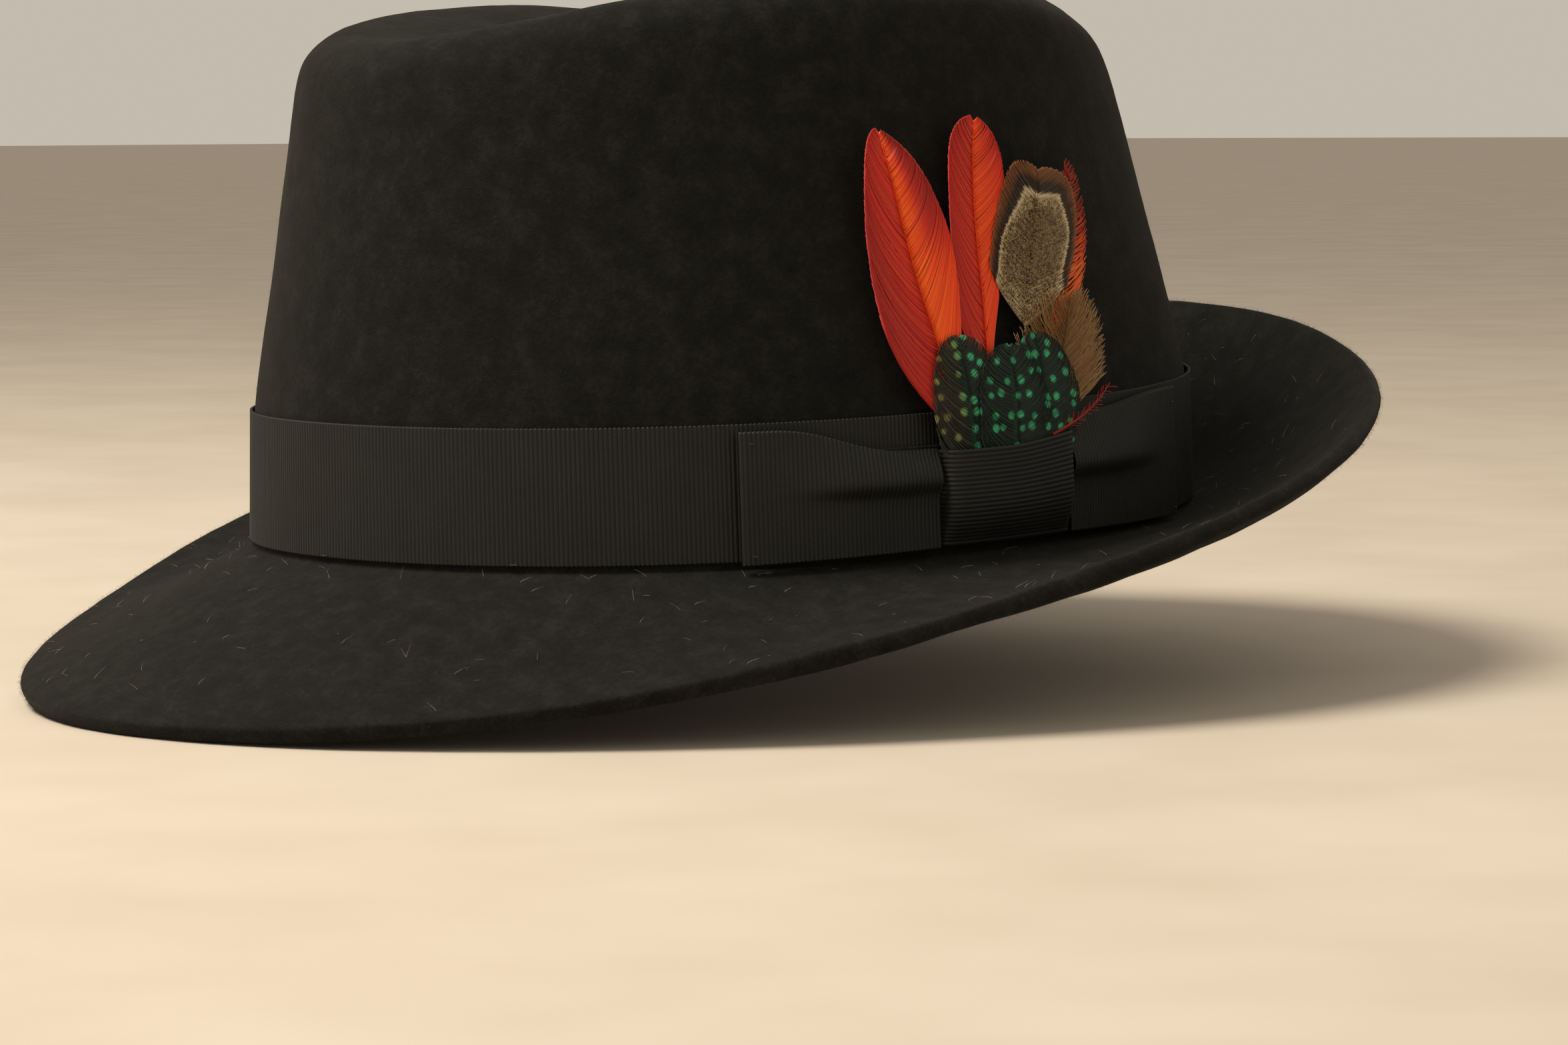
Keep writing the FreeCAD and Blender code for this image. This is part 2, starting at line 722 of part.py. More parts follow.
def feather(foot, base, tip, width, layer, bulge=0.5, blunt=0.75):
    """Flat feather: a quill from foot to base, then a vane to tip.

    foot, base and tip are (along, height). bulge moves the widest place towards the tip,
    blunt below 1 makes the ends rounder.
    """
    bound = BINDING_BOTTOM + BINDING_HEIGHT
    middle = layer_out(layer) + VANE_THICKNESS / 2
    slant = (base[0] - foot[0]) / (base[1] - foot[1])
    grid = []
    for z in [foot[1]] + spread(bound, base[1], 4):
        k = (z - bound) / (base[1] - bound)
        centre = foot[0] + (base[0] - foot[0]) * smooth(k)
        half = QUILL_WIDTH / 2
        grid.append([fan_point(centre + half * side, z, middle) for side in VANE_SIDES])
    length = tip[1] - base[1]
    for t in spread(0.1, 1.0, 10):
        centre = base[0] + (tip[0] - base[0]) * t
        centre += QUILL_SWING * slant * length * t * (1 - t)
        hump = math.sin(math.pi * min(t, 0.97) ** (VANE_SWELL / (1 - bulge))) ** blunt
        half = QUILL_WIDTH / 2 + (width - QUILL_WIDTH) / 2 * hump
        z = base[1] + length * t
        grid.append([fan_point(centre + half * side, z, middle) for side in VANE_SIDES])
    return sheet_solid(grid, VANE_THICKNESS)


def red_feather_front():
    return feather((-8.4, 9.0), (-15.0, 25.0), (-22.0, 84.0), 19.0, 3, 0.5, 0.7)


def red_feather_rear():
    return feather((-4.2, 9.0), (-5.0, 36.0), (4.5, 86.5), 13.0, 2, 0.6, 0.6)


def pheasant_feather():
    return feather((0.6, 9.0), (3.0, 30.0), (19.5, 77.0), 19.0, 3, 0.62, 0.6)


def red_hackle():
    return feather((6.5, 9.0), (8.0, 30.0), (31.0, 77.0), 8.0, 0, 0.6, 0.8)


def brown_down_feather():
    return feather((4.6, 9.0), (9.0, 27.0), (17.0, 56.0), 22.0, 1, 0.5, 0.6)


def guinea_feather_front():
    return feather((-6.3, 9.0), (-9.5, 19.0), (-11.0, 44.0), 13.5, 4, 0.52, 0.45)


def guinea_feather_middle():
    return feather((-1.5, 9.0), (0.0, 19.0), (0.5, 39.5), 14.0, 5, 0.5, 0.45)


def guinea_feather_rear():
    return feather((2.7, 9.0), (4.5, 20.0), (8.5, 44.0), 15.0, 4, 0.52, 0.45)


def loose_quill():
    """Bare red quill that has come away from its feather."""
    out = layer_out(5) + LOOSE_QUILL_RADIUS + 2 * VANE_GAP
    return thread(fan_point(9.5, 24.5, out), fan_point(26.5, 33.5, out), LOOSE_QUILL_RADIUS)


def feather_backing_card():
    """Card that the quills are glued to."""
    middle = card_out() + CARD_THICKNESS / 2
    grid = []
    for along in spread(-CARD_HALF_WIDTH, CARD_HALF_WIDTH, 6):
        grid.append([fan_point(along, z, middle)
                     for z in (CARD_BOTTOM, CARD_BOTTOM + CARD_HEIGHT)])
    return sheet_solid(grid, CARD_THICKNESS)


def quill_binding():
    """Thread wound round the card and the quills."""
    room = VANE_GAP + BINDING_THICKNESS / 2
    near, far = card_out() - room, layer_out(6) + room
    half = CARD_HALF_WIDTH + 8 * room
    grid = []
    for turn in range(0, 360, 8):
        c, s = math.cos(math.radians(turn)), math.sin(math.radians(turn))
        corner = abs(c) ** BINDING_SQUARENESS + abs(s) ** BINDING_SQUARENESS
        k = corner ** (-1 / BINDING_SQUARENESS)
        out = (near + far) / 2 + (far - near) / 2 * k * s
        grid.append([fan_point(half * k * c, z, out)
                     for z in (BINDING_BOTTOM, BINDING_BOTTOM + BINDING_HEIGHT)])
    return sheet_solid(grid, BINDING_THICKNESS, True)


PARTS = {
    "felt_body": felt_body,
    "hat_band": hat_band,
    "band_join_stitches": band_join_stitches,
    "band_tack_stitches": band_tack_stitches,
    "bow_backing_strip": bow_backing_strip,
    "bow_front_loop": bow_front_loop,
    "bow_rear_loop": bow_rear_loop,
    "bow_knot": bow_knot,
    "bow_tack_stitches": bow_tack_stitches,
    "sweatband": sweatband,
    "sweatband_reed": sweatband_reed,
    "reed_tape": reed_tape,
    "sweatband_stitches": sweatband_stitches,
    "sweatband_rear_bow": sweatband_rear_bow,
    "lining_side": lining_side,
    "lining_seam_piping": lining_seam_piping,
    "lining_tip": lining_tip,
    "lining_tip_shield": lining_tip_shield,
    "red_feather_front": red_feather_front,
    "red_feather_rear": red_feather_rear,
    "pheasant_feather": pheasant_feather,
    "red_hackle": red_hackle,
    "brown_down_feather": brown_down_feather,
    "guinea_feather_front": guinea_feather_front,
    "guinea_feather_middle": guinea_feather_middle,
    "guinea_feather_rear": guinea_feather_rear,
    "loose_quill": loose_quill,
    "feather_backing_card": feather_backing_card,
    "quill_binding": quill_binding,
}

os.makedirs("parts", exist_ok=True)
for name, make in PARTS.items():
    shape = make()
    shape.exportStep(f"parts/{name}.step")
    box = shape.BoundBox
    print(name, shape.isValid(), len(shape.Solids), round(shape.Volume, 1), "mm3",
          [round(v, 1) for v in (box.XMin, box.XMax, box.YMin, box.YMax, box.ZMin, box.ZMax)])
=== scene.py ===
# %% [markdown]
# A fedora is one hood of fur felt, steamed and pressed over a block until it has a crown
# and a brim. Round it goes a grosgrain ribbon with a flat bow on the wearer's left, and a
# small mount of feathers is pushed down behind the bow's knot. The CAD model already has
# every piece in its place. This lesson gives the pieces their cloth, felt and feathers.

# %% Load the hat's frame
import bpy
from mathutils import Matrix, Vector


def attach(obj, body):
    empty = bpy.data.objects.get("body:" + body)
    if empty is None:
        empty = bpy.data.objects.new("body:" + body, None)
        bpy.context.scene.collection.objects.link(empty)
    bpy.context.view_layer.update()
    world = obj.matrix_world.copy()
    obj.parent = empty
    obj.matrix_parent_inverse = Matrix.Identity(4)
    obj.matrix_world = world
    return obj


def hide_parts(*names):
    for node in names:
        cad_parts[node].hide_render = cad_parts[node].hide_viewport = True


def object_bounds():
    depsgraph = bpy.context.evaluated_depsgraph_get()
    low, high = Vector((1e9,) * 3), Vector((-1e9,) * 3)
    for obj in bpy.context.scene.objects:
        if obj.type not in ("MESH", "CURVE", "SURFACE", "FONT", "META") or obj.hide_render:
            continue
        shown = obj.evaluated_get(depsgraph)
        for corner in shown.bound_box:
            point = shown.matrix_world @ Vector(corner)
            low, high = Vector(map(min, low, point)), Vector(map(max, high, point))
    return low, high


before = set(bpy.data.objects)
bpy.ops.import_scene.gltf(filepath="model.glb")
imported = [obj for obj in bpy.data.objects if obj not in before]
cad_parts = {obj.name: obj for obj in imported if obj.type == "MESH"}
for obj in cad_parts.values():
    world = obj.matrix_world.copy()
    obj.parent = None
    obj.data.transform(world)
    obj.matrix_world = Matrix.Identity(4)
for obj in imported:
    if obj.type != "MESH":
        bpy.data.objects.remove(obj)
cad_low, cad_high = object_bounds()
print("the hat's box runs from", tuple(cad_low), "to", tuple(cad_high))

# %% Libraries and units
import math
import bpy
import numpy as np
from mathutils import Matrix, Vector, noise
from mathutils.bvhtree import BVHTree

MM = 0.001
chance = np.random.default_rng(58)

# %% [markdown]
# A hat is drawn by angles and heights: the angle counts from the front over the wearer's
# left, the height from where crown meets brim. Each surface below is the same formula
# that the CAD pieces came from, in millimetres, so what is sewn to the felt follows it.

# %% The felt's driving sizes, in millimetres
CROWN_FELT, BRIM_FELT = 2.2, 3.8
BASE_HALF_LENGTH, BASE_HALF_WIDTH = 104.0, 86.5
OUTLINE_POWER, FRONT_NARROWING = 2.1, 0.03
WALL_SIDE_LEAN, WALL_FRONT_LEAN, WALL_BACK_LEAN, BAND_ZONE_LEAN = 10.9, 7.7, 16.4, 3.0
FRONT_HEIGHT, SIDE_HEIGHT, BACK_HEIGHT, LEFT_SIDE_RISE = 102.5, 114.0, 101.0, 2.2
CORNER_RADIUS, DENT_DEPTH, DENT_FLOOR = 9.9, 18.0, (20.0, 4.0)
BRIM_EDGE_HALF_WIDTH, BRIM_EDGE_FRONT, BRIM_EDGE_BACK = 127.9, 154.4, 139.0
BRIM_EDGE_POWER, BRIM_EDGE_SWELL = 1.94, 0.024
BRIM_FRONT_DROP, BRIM_SIDE_RISE, BRIM_BACK_RISE = 24.9, 5.0, 43.8
BRIM_QUARTER_DIP, BRIM_SIDE_SAG = 1.4, 3.6
BREAK_BACK_RISE, BREAK_RADIUS = 6.8, 2.0
RIBBON_WIDTH, RIBBON_THICKNESS, BAND_LIFT = 26.5, 0.6, 1.2


# %% Points on the felt
def smooth(t):
    t = np.clip(t, 0.0, 1.0)
    return t * t * (3.0 - 2.0 * t)


def turned(theta):
    """Sine and cosine of an angle in degrees."""
    return np.sin(np.radians(theta)), np.cos(np.radians(theta))


def break_height(theta):
    return BREAK_BACK_RISE * ((1 - turned(theta)[1]) / 2) ** 1.5


def ridge_height(theta):
    s, c = turned(theta)
    ends = (FRONT_HEIGHT + BACK_HEIGHT) / 2 + (FRONT_HEIGHT - BACK_HEIGHT) / 2 * c
    return SIDE_HEIGHT + (ends - SIDE_HEIGHT) * c * c + LEFT_SIDE_RISE * s


def oval(theta, front, back, half_width, power, z):
    s, c = turned(theta)
    k = (np.abs(s) ** power + np.abs(c) ** power) ** (-1.0 / power)
    x = half_width * k * s * (1 - FRONT_NARROWING * c)
    y = (back - front) / 2 - (back + front) / 2 * k * c
    return np.stack(np.broadcast_arrays(x, y, z), -1)


def wall(theta, z, out=0.0):
    """Outside of the crown's wall at height z, moved out by out."""
    above = np.maximum(z - break_height(theta) - BAND_LIFT - RIBBON_WIDTH, 0.0)
    lean = [math.tan(math.radians(a)) for a in
            (WALL_FRONT_LEAN, WALL_BACK_LEAN, WALL_SIDE_LEAN, BAND_ZONE_LEAN)]
    side = BASE_HALF_WIDTH - above * lean[2] - (z - above) * lean[3] + out
    front = BASE_HALF_LENGTH - above * lean[0] + out
    back = BASE_HALF_LENGTH - above * lean[1] + out
    return oval(theta, front, back, side, OUTLINE_POWER, z)


def band_point(theta, up, out):
    """Point over the band: up from the brim, out from the felt."""
    return wall(theta, break_height(theta) + up, out)


def brim_edge(theta):
    c = turned(theta)[1]
    height = BRIM_SIDE_RISE * (1 - c * c)
    height = height + BRIM_BACK_RISE * (c * c - c) / 2 - BRIM_FRONT_DROP * (c * c + c) / 2
    height = height - BRIM_QUARTER_DIP * turned(2 * theta)[0] ** 2
    swell = 1 + BRIM_EDGE_SWELL * turned(3 * theta)[1]
    return oval(theta, BRIM_EDGE_FRONT * swell, BRIM_EDGE_BACK * swell,
                BRIM_EDGE_HALF_WIDTH * swell, BRIM_EDGE_POWER, height)


def brim_point(theta, t):
    """Top of the brim, t from 0 at the crown to 1 at the edge."""
    s, c = turned(theta)
    start, end = wall(theta, break_height(theta)), brim_edge(theta)
    flat = start + (end - start) * t
    rise = (end[..., 2] - start[..., 2]) * t ** (1.3 - 0.2 * c)
    flat[..., 2] = start[..., 2] + rise - BRIM_SIDE_SAG * 4 * t * (1 - t) * s * s
    return flat


def crown_top(theta, t):
    """The crown's top, t from 0 on the dent's floor to 1 on the ridge."""
    ridge, floor = ridge_height(theta), SIDE_HEIGHT - DENT_DEPTH
    rim = wall(theta, ridge, -CORNER_RADIUS)
    core = oval(theta, DENT_FLOOR[0], DENT_FLOOR[0], DENT_FLOOR[1], 2.0, 0.0)
    flat = core + (rim - core) * t
    flat[..., 2] = floor + (ridge - floor) * smooth(t)
    return flat


def crown_corner(theta, turn):
    """The rounded shoulder, turn from 0 on the wall to 90 on the ridge."""
    s, c = turned(turn)
    return wall(theta, ridge_height(theta) - CORNER_RADIUS * (1 - s), -CORNER_RADIUS * (1 - c))


RING = np.arange(120) * 3.0
print("the ridge over the ears is", ridge_height(90.0), "mm up")


# %% [markdown]
# A cubic B-spline surface glides near its poles instead of through them, and CAD used one
# for every soft piece. Worked out again on a finer grid of places, it gives the same
# surface with as many points as ribs, wrinkles and nap need.

# %% B-spline surfaces over a grid of poles
def round_weights(count, places):
    """Share of each pole at each place from 0 to 1, for a line that closes on itself."""
    u = places * count
    first, f = np.floor(u).astype(int), u - np.floor(u)
    shares = ((1 - f) ** 3, 3 * f ** 3 - 6 * f ** 2 + 4, -3 * f ** 3 + 3 * f ** 2 + 3 * f + 1, f ** 3)
    table = np.zeros((len(places), count))
    for step, share in enumerate(shares):
        table[np.arange(len(places)), (first + step - 1) % count] += share / 6
    return table


def knot_weights(knots, places):
    """Share of each pole at each place from 0 to 1, for cubic spans between knots."""
    u = (knots[-1] * np.clip(places, 0, 1 - 1e-9))[:, None]
    table = ((knots[:-1] <= u) & (u < knots[1:])).astype(float)
    for degree in (1, 2, 3):
        low_gap, high_gap = knots[degree:-1] - knots[:-degree - 1], knots[degree + 1:] - knots[1:-degree]
        low = (u - knots[:-degree - 1]) / np.where(low_gap == 0, 1, low_gap) * (low_gap > 0)
        high = (knots[degree + 1:] - u) / np.where(high_gap == 0, 1, high_gap) * (high_gap > 0)
        table = low * table[:, :-1] + high * table[:, 1:]
    return table


def line_through(poles, places):
    """Points of a smooth open line over poles, with its knots evenly spaced."""
    poles = np.asarray(poles, float)
    knots = np.concatenate([[0] * 3, np.arange(len(poles) - 2), [len(poles) - 3] * 3]).astype(float)
    return knot_weights(knots, np.asarray(places, float)) @ poles


def with_end_lines(poles):
    """Adds a line of poles a third of the way in at each end of the first index."""
    first = poles[:1] + (poles[1:2] - poles[:1]) / 3
    last = poles[-1:] + (poles[-2:-1] - poles[-1:]) / 3
    return np.concatenate([poles[:1], first, poles[1:-1], last, poles[-1:]])


def reach_of(poles):
    """Mean distance along the first index from its first line to each line."""
    gaps = np.linalg.norm(np.diff(poles, axis=0), axis=-1).reshape(len(poles) - 1, -1).mean(1)
    return np.concatenate([[0.0], np.cumsum(gaps)])


def open_weights(poles, places):
    """Shares for an open line of poles, with knots as far apart as the poles are."""
    reached = reach_of(poles)
    return knot_weights(np.concatenate([[0.0] * 4, reached[2:-2], [reached[-1]] * 4]), places)


def surface(poles, across, along, closed):
    """Points [across][along] of the surface over poles; closed says that across is a ring."""
    poles = np.asarray(poles, float)
    if not closed:
        poles = with_end_lines(poles)
    poles = with_end_lines(poles.swapaxes(0, 1)).swapaxes(0, 1)
    first = round_weights(len(poles), across) if closed else open_weights(poles, across)
    second = open_weights(poles.swapaxes(0, 1), along)
    return np.einsum("ai,bj,ijk->abk", first, second, poles)


def normals_of(grid, closed):
    """Unit normals of a grid of points; closed says that its first index is a ring."""
    if closed:
        along_ring = np.roll(grid, -1, 0) - np.roll(grid, 1, 0)
    else:
        along_ring = np.gradient(grid, axis=0)
    normal = np.cross(along_ring, np.gradient(grid, axis=1))
    return normal / np.linalg.norm(normal, axis=-1, keepdims=True)


def lengths(line):
    """Distance along a line of points at each point."""
    steps = np.linalg.norm(np.diff(line, axis=0), axis=-1)
    return np.concatenate([[0.0], np.cumsum(steps)])


# %% [markdown]
# Meshes are made from lists of points and faces. Extra numbers ride along as attributes
# on the points, such as how far along its feather a barb lies, and the materials read
# those in place of a painted picture.

# %% Build a mesh and put it on the hat
def grid_faces(rows, columns, closed):
    """Quads over points [row][column]; closed joins the last row to the first."""
    last = rows if closed else rows - 1
    i, j = np.meshgrid(np.arange(last), np.arange(columns - 1), indexing="ij")
    after = (i + 1) % rows
    quads = np.stack([i * columns + j, after * columns + j,
                      after * columns + j + 1, i * columns + j + 1], -1)
    return quads.reshape(-1, 4).tolist()


def make_piece(name, points, faces, material, stands_for=(), slot=None, body="hat", extra=None):
    """A mesh object in metres from points in millimetres, riding on a body."""
    mesh = bpy.data.meshes.new(name)
    mesh.from_pydata((np.asarray(points).reshape(-1, 3) * MM).tolist(), [], faces)
    for key, values in (extra or {}).items():
        values = np.asarray(values, np.float32)
        kind = "FLOAT" if values.ndim == 1 else "FLOAT_VECTOR"
        layer = mesh.attributes.new(key, kind, "POINT")
        layer.data.foreach_set("value" if values.ndim == 1 else "vector", values.ravel())
    mesh.materials.append(material)
    mesh.polygons.foreach_set("use_smooth", [True] * len(mesh.polygons))
    mesh.validate()
    mesh.update()
    made = bpy.data.objects.new(name, mesh)
    bpy.context.scene.collection.objects.link(made)
    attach(made, body)
    if stands_for:
        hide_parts(*stands_for)
    print(name, len(mesh.polygons), "faces")
    return made


def sheet_points(outer, inner, closed):
    """Points and faces of a closed sheet between two grids of the same size."""
    rows, columns = outer.shape[:2]
    skin = np.concatenate([outer, inner[:, ::-1]], 1)
    faces = []
    wide = 2 * columns
    last = rows if closed else rows - 1
    for quad_column in range(wide):
        beside = (quad_column + 1) % wide
        i = np.arange(last)
        after = (i + 1) % rows
        faces.append(np.stack([i * wide + quad_column, after * wide + quad_column,
                               after * wide + beside, i * wide + beside], -1))
    faces = np.concatenate(faces).tolist()
    if not closed:
        for row, order in ((0, 1), (rows - 1, -1)):
            for j in range(columns - 1):
                rim = [row * wide + j, row * wide + j + 1, row * wide + wide - 2 - j,
                       row * wide + wide - 1 - j]
                faces.append(rim[::order])
    return skin.reshape(-1, 3), faces


# %% [markdown]
# Every finish is a small tree of shader nodes. One function adds a node, sets it and
# links it. Colours are written as a maker would pick them, in hex, and turned to the
# linear numbers that light is reckoned in.

# %% Colours, nodes and materials
def linear(hex_colour):
    """A hex colour as the linear red, green, blue and alpha that shaders use."""
    parts = [int(hex_colour[i:i + 2], 16) / 255 for i in (1, 3, 5)]
    return [p / 12.92 if p <= 0.04045 else ((p + 0.055) / 1.055) ** 2.4 for p in parts] + [1.0]


def add_node(tree, kind, inputs=None, **settings):
    """Add a node; inputs holds a value or a socket to link for each of its own sockets."""
    node = tree.nodes.new("ShaderNode" + kind)
    for key, value in settings.items():
        setattr(node, key, value)
    for key, value in (inputs or {}).items():
        if isinstance(value, bpy.types.NodeSocket):
            tree.links.new(value, node.inputs[key])
        else:
            node.inputs[key].default_value = value
    return node


def new_material(name, roughness, sheen=0.0, sheen_roughness=0.5, sheen_tint="#ffffff", ior=1.5,
                 specular=0.5):
    """A material with its surface shader; returns the material, its tree and the shader."""
    material = bpy.data.materials.new(name)
    material.use_nodes = True
    tree = material.node_tree
    shader = tree.nodes["Principled BSDF"]
    settings = {"Roughness": roughness, "IOR": ior, "Specular IOR Level": specular,
                "Sheen Weight": sheen, "Sheen Roughness": sheen_roughness,
                "Sheen Tint": linear(sheen_tint)}
    for key, value in settings.items():
        shader.inputs[key].default_value = value
    return material, tree, shader


def ramp(tree, factor, stops):
    """Colour for a factor; stops are (place, hex colour)."""
    node = add_node(tree, "ValToRGB", {"Fac": factor})
    elements = node.color_ramp.elements
    while len(elements) < len(stops):
        elements.new(0.5)
    for element, (place, colour) in zip(elements, stops):
        element.position = place
        element.color = linear(colour)
    return node.outputs["Color"]


def place_on_piece(tree):
    """Each point's place on the piece, in metres."""
    return add_node(tree, "TexCoord").outputs["Object"]


def carried(tree, name):
    """A number that the mesh carries at each point."""
    return add_node(tree, "Attribute", attribute_name=name).outputs["Fac"]


def maths(tree, a, b, operation="ADD"):
    return add_node(tree, "Math", {0: a, 1: b}, operation=operation).outputs[0]


def mean_of(tree, a, b):
    return maths(tree, maths(tree, a, b), 0.5, "MULTIPLY")


def spread_out(tree, value, reach):
    """A number from 0 to 1 turned into one from -reach to reach."""
    return add_node(tree, "MapRange", {"Value": value, "To Min": -reach, "To Max": reach}).outputs["Result"]


def mixed_colours(tree, factor, first, second, blend_type="MIX"):
    return add_node(tree, "Mix", {"Factor": factor, "A": first, "B": second}, data_type="RGBA",
                    blend_type=blend_type).outputs["Result"]


def colour_by(tree, shader, factor, stops):
    """Base colour from a factor and its (place, hex colour) stops."""
    tree.links.new(ramp(tree, factor, stops), shader.inputs["Base Color"])


def spots(tree, vector, size_mm, detail=2.0, roughness=0.5, distortion=0.0):
    """Cloudy noise whose patches are about size_mm across."""
    return add_node(tree, "TexNoise", {"Vector": vector, "Scale": 1.0 / (size_mm * MM), "Detail": detail,
                                       "Roughness": roughness, "Distortion": distortion}).outputs["Fac"]


def raise_surface(tree, shader, height, distance_mm):
    """Bump of the given height in millimetres."""
    bump = add_node(tree, "Bump", {"Height": height, "Distance": distance_mm * MM, "Strength": 1.0})
    tree.links.new(bump.outputs["Normal"], shader.inputs["Normal"])


def cloudy_material(name, roughness, cloud, stops, bump_mm=0.0, **finish):
    """A finish whose colour and relief follow one cloudy noise; cloud holds its settings."""
    material, tree, shader = new_material(name, roughness, **finish)
    factor = spots(tree, place_on_piece(tree), *cloud)
    colour_by(tree, shader, factor, stops)
    if bump_mm:
        raise_surface(tree, shader, factor, bump_mm)
    return material


# %% [markdown]
# Fur felt is beaver or rabbit fur matted with steam and pressure, dyed black, then
# brushed and pounced with fine paper. It has no weave. Close up it shows matted fibres
# lying every way, a soft bloom where light grazes it, and clouds a few millimetres wide
# where the nap turns.

# %% Black fur felt
def felt_material():
    material, tree, shader = new_material("fur_felt_dyed_black_and_pounced", 0.92, sheen=0.07,
                                          sheen_roughness=0.4, sheen_tint="#b3b0a6", specular=0.1)
    place = place_on_piece(tree)
    clouds = spots(tree, place, 5.0, 3.0, 0.55)
    matted = spots(tree, place, 1.1, 4.0, 0.7, 0.8)
    colour_by(tree, shader, mean_of(tree, clouds, matted),
              [(0.34, "#0f0f0e"), (0.5, "#161614"), (0.66, "#20201d")])
    fine = spots(tree, place, 0.4, 2.0, 0.6, 0.6)
    raise_surface(tree, shader, maths(tree, matted, fine), 0.14)
    return material


black_felt = felt_material()


# %% [markdown]
# The hood itself is a closed shell: outside from the dent's floor over the ridge, down
# the wall and out to the brim's edge, round the raw edge, then back along the inside.
# Blocked felt is never quite true, so the free surfaces wander by a few tenths of a
# millimetre. Under the ribbon the felt keeps its exact place.

# %% The felt body
TOP_REACHES = (0.0, 0.12, 0.3, 0.5, 0.7, 0.86)
FELT_ROWS, FELT_COLUMNS = 360, 221


def felt_poles():
    """Rings of poles on the outside."""
    theta, low = RING, break_height(RING)
    shoulder = ridge_height(RING) - CORNER_RADIUS
    rings = [crown_top(theta, t) for t in TOP_REACHES]
    rings += [crown_corner(theta, turn) for turn in (90.0, 60.0, 30.0)]
    foot = low + 2 * BREAK_RADIUS
    rings += [wall(theta, shoulder + (foot - shoulder) * k / 8) for k in range(9)]
    rings += [wall(theta, low + 0.6 * BREAK_RADIUS), wall(theta, low)]
    rings += [brim_point(theta, t) for t in (0.03, 0.1, 0.26, 0.44, 0.6, 0.76, 0.9, 1.0)]
    return np.stack(rings, 1)


def felt_shell():
    """Poles of the whole shell, outside and then inside, with a round raw edge."""
    outside = felt_poles()
    last, wall_foot = outside.shape[1] - 1, 17
    brim_share = smooth((np.arange(last + 1) - wall_foot) / (last - wall_foot))
    thick = CROWN_FELT + (BRIM_FELT - CROWN_FELT) * brim_share
    inward = normals_of(outside, True)
    inward[:, 0] = (0, 0, -1)
    inside = outside + inward * thick[None, :, None]
    way = outside[:, -1] - outside[:, -2]
    way = way / np.linalg.norm(way, axis=-1, keepdims=True) * 0.42 * BRIM_FELT
    edge = [outside[:, -1] + (inside[:, -1] - outside[:, -1]) * k + way for k in (0.12, 0.88)]
    return np.concatenate([outside, np.stack(edge, 1), inside[:, ::-1]], 1)


def wander(points, size, reach):
    """Slow noise from -reach to reach at each point."""
    flat = points.reshape(-1, 3) / size
    values = [noise.noise(Vector(p)) for p in flat]
    return np.array(values).reshape(points.shape[:-1]) * reach


shell_poles = felt_shell()
shell_reach = reach_of(shell_poles.swapaxes(0, 1))
along_places = np.interp(np.linspace(0, len(shell_reach) - 1, FELT_COLUMNS), np.arange(len(shell_reach)),
                         shell_reach / shell_reach[-1])
felt_grid = surface(shell_poles, np.arange(FELT_ROWS) / FELT_ROWS, along_places, True)
felt_normals = -normals_of(felt_grid, True)
under_ribbon = smooth((np.abs(felt_grid[..., 2] - break_height(0.0) - 15.0) - 14.0) / 8.0)
on_brim = smooth((np.hypot(felt_grid[..., 0], felt_grid[..., 1] / 1.15) - 96.0) / 12.0)
free_felt = np.maximum(under_ribbon, on_brim)
drift = wander(felt_grid, 38.0, 0.5) + wander(felt_grid, 11.0, 0.16) + wander(felt_grid, 3.5, 0.06)
felt_skin = felt_grid + felt_normals * (drift * free_felt)[..., None]


def closed_cap(grid, column, rings, faces, points, flip):
    """Fill the opening at one end of the shell with rings that shrink to its middle."""
    rows = len(grid)
    start_ring = [row * grid.shape[1] + column for row in range(rows)]
    middle = grid[:, column].mean(0)
    for k in rings:
        first = len(points)
        points.extend((middle + (grid[:, column] - middle) * k).tolist())
        ring = list(range(first, first + rows))
        for i in range(rows):
            j = (i + 1) % rows
            quad = [start_ring[i], start_ring[j], ring[j], ring[i]]
            faces.append(quad if flip else quad[::-1])
        start_ring = ring
    points.append(middle.tolist())
    for i in range(rows):
        fan = [start_ring[i], start_ring[(i + 1) % rows], len(points) - 1]
        faces.append(fan if flip else fan[::-1])


felt_points = felt_skin.reshape(-1, 3).tolist()
felt_faces = grid_faces(len(felt_skin), felt_skin.shape[1], True)
closed_cap(felt_skin, 0, (0.6, 0.25), felt_faces, felt_points, True)
closed_cap(felt_skin, felt_skin.shape[1] - 1, (0.6, 0.25), felt_faces, felt_points, False)
make_piece("felt_body_felted", felt_points, felt_faces, black_felt, ["felt_body"], "black_fur_felt")

# %% [markdown]
# Pouncing never takes off all the loose fur. Short hairs stand up along the ridge and the
# raw edge of the brim, where they show against the light, and a worn hat also carries a
# little pale lint on top of its brim.

# %% Nap, edge hairs and lint
OUTSIDE_COLUMNS = int(np.searchsorted(along_places, 0.5))
WALL_COLUMN, BRIM_COLUMNS = 40, (78, 102)


def on_felt(count, low, high):
    """Random places on the felt's outside between two columns, with their normals."""
    row = chance.integers(0, len(felt_skin), count)
    column = chance.integers(low, high, count)
    share = chance.uniform(0, 1, (count, 1))
    after = felt_skin[(row + 1) % len(felt_skin), column]
    place = felt_skin[row, column] * (1 - share) + after * share
    beside = felt_skin[row, column + 1] - felt_skin[row, column]
    return place + beside * chance.uniform(0, 1, (count, 1)), felt_normals[row, column]


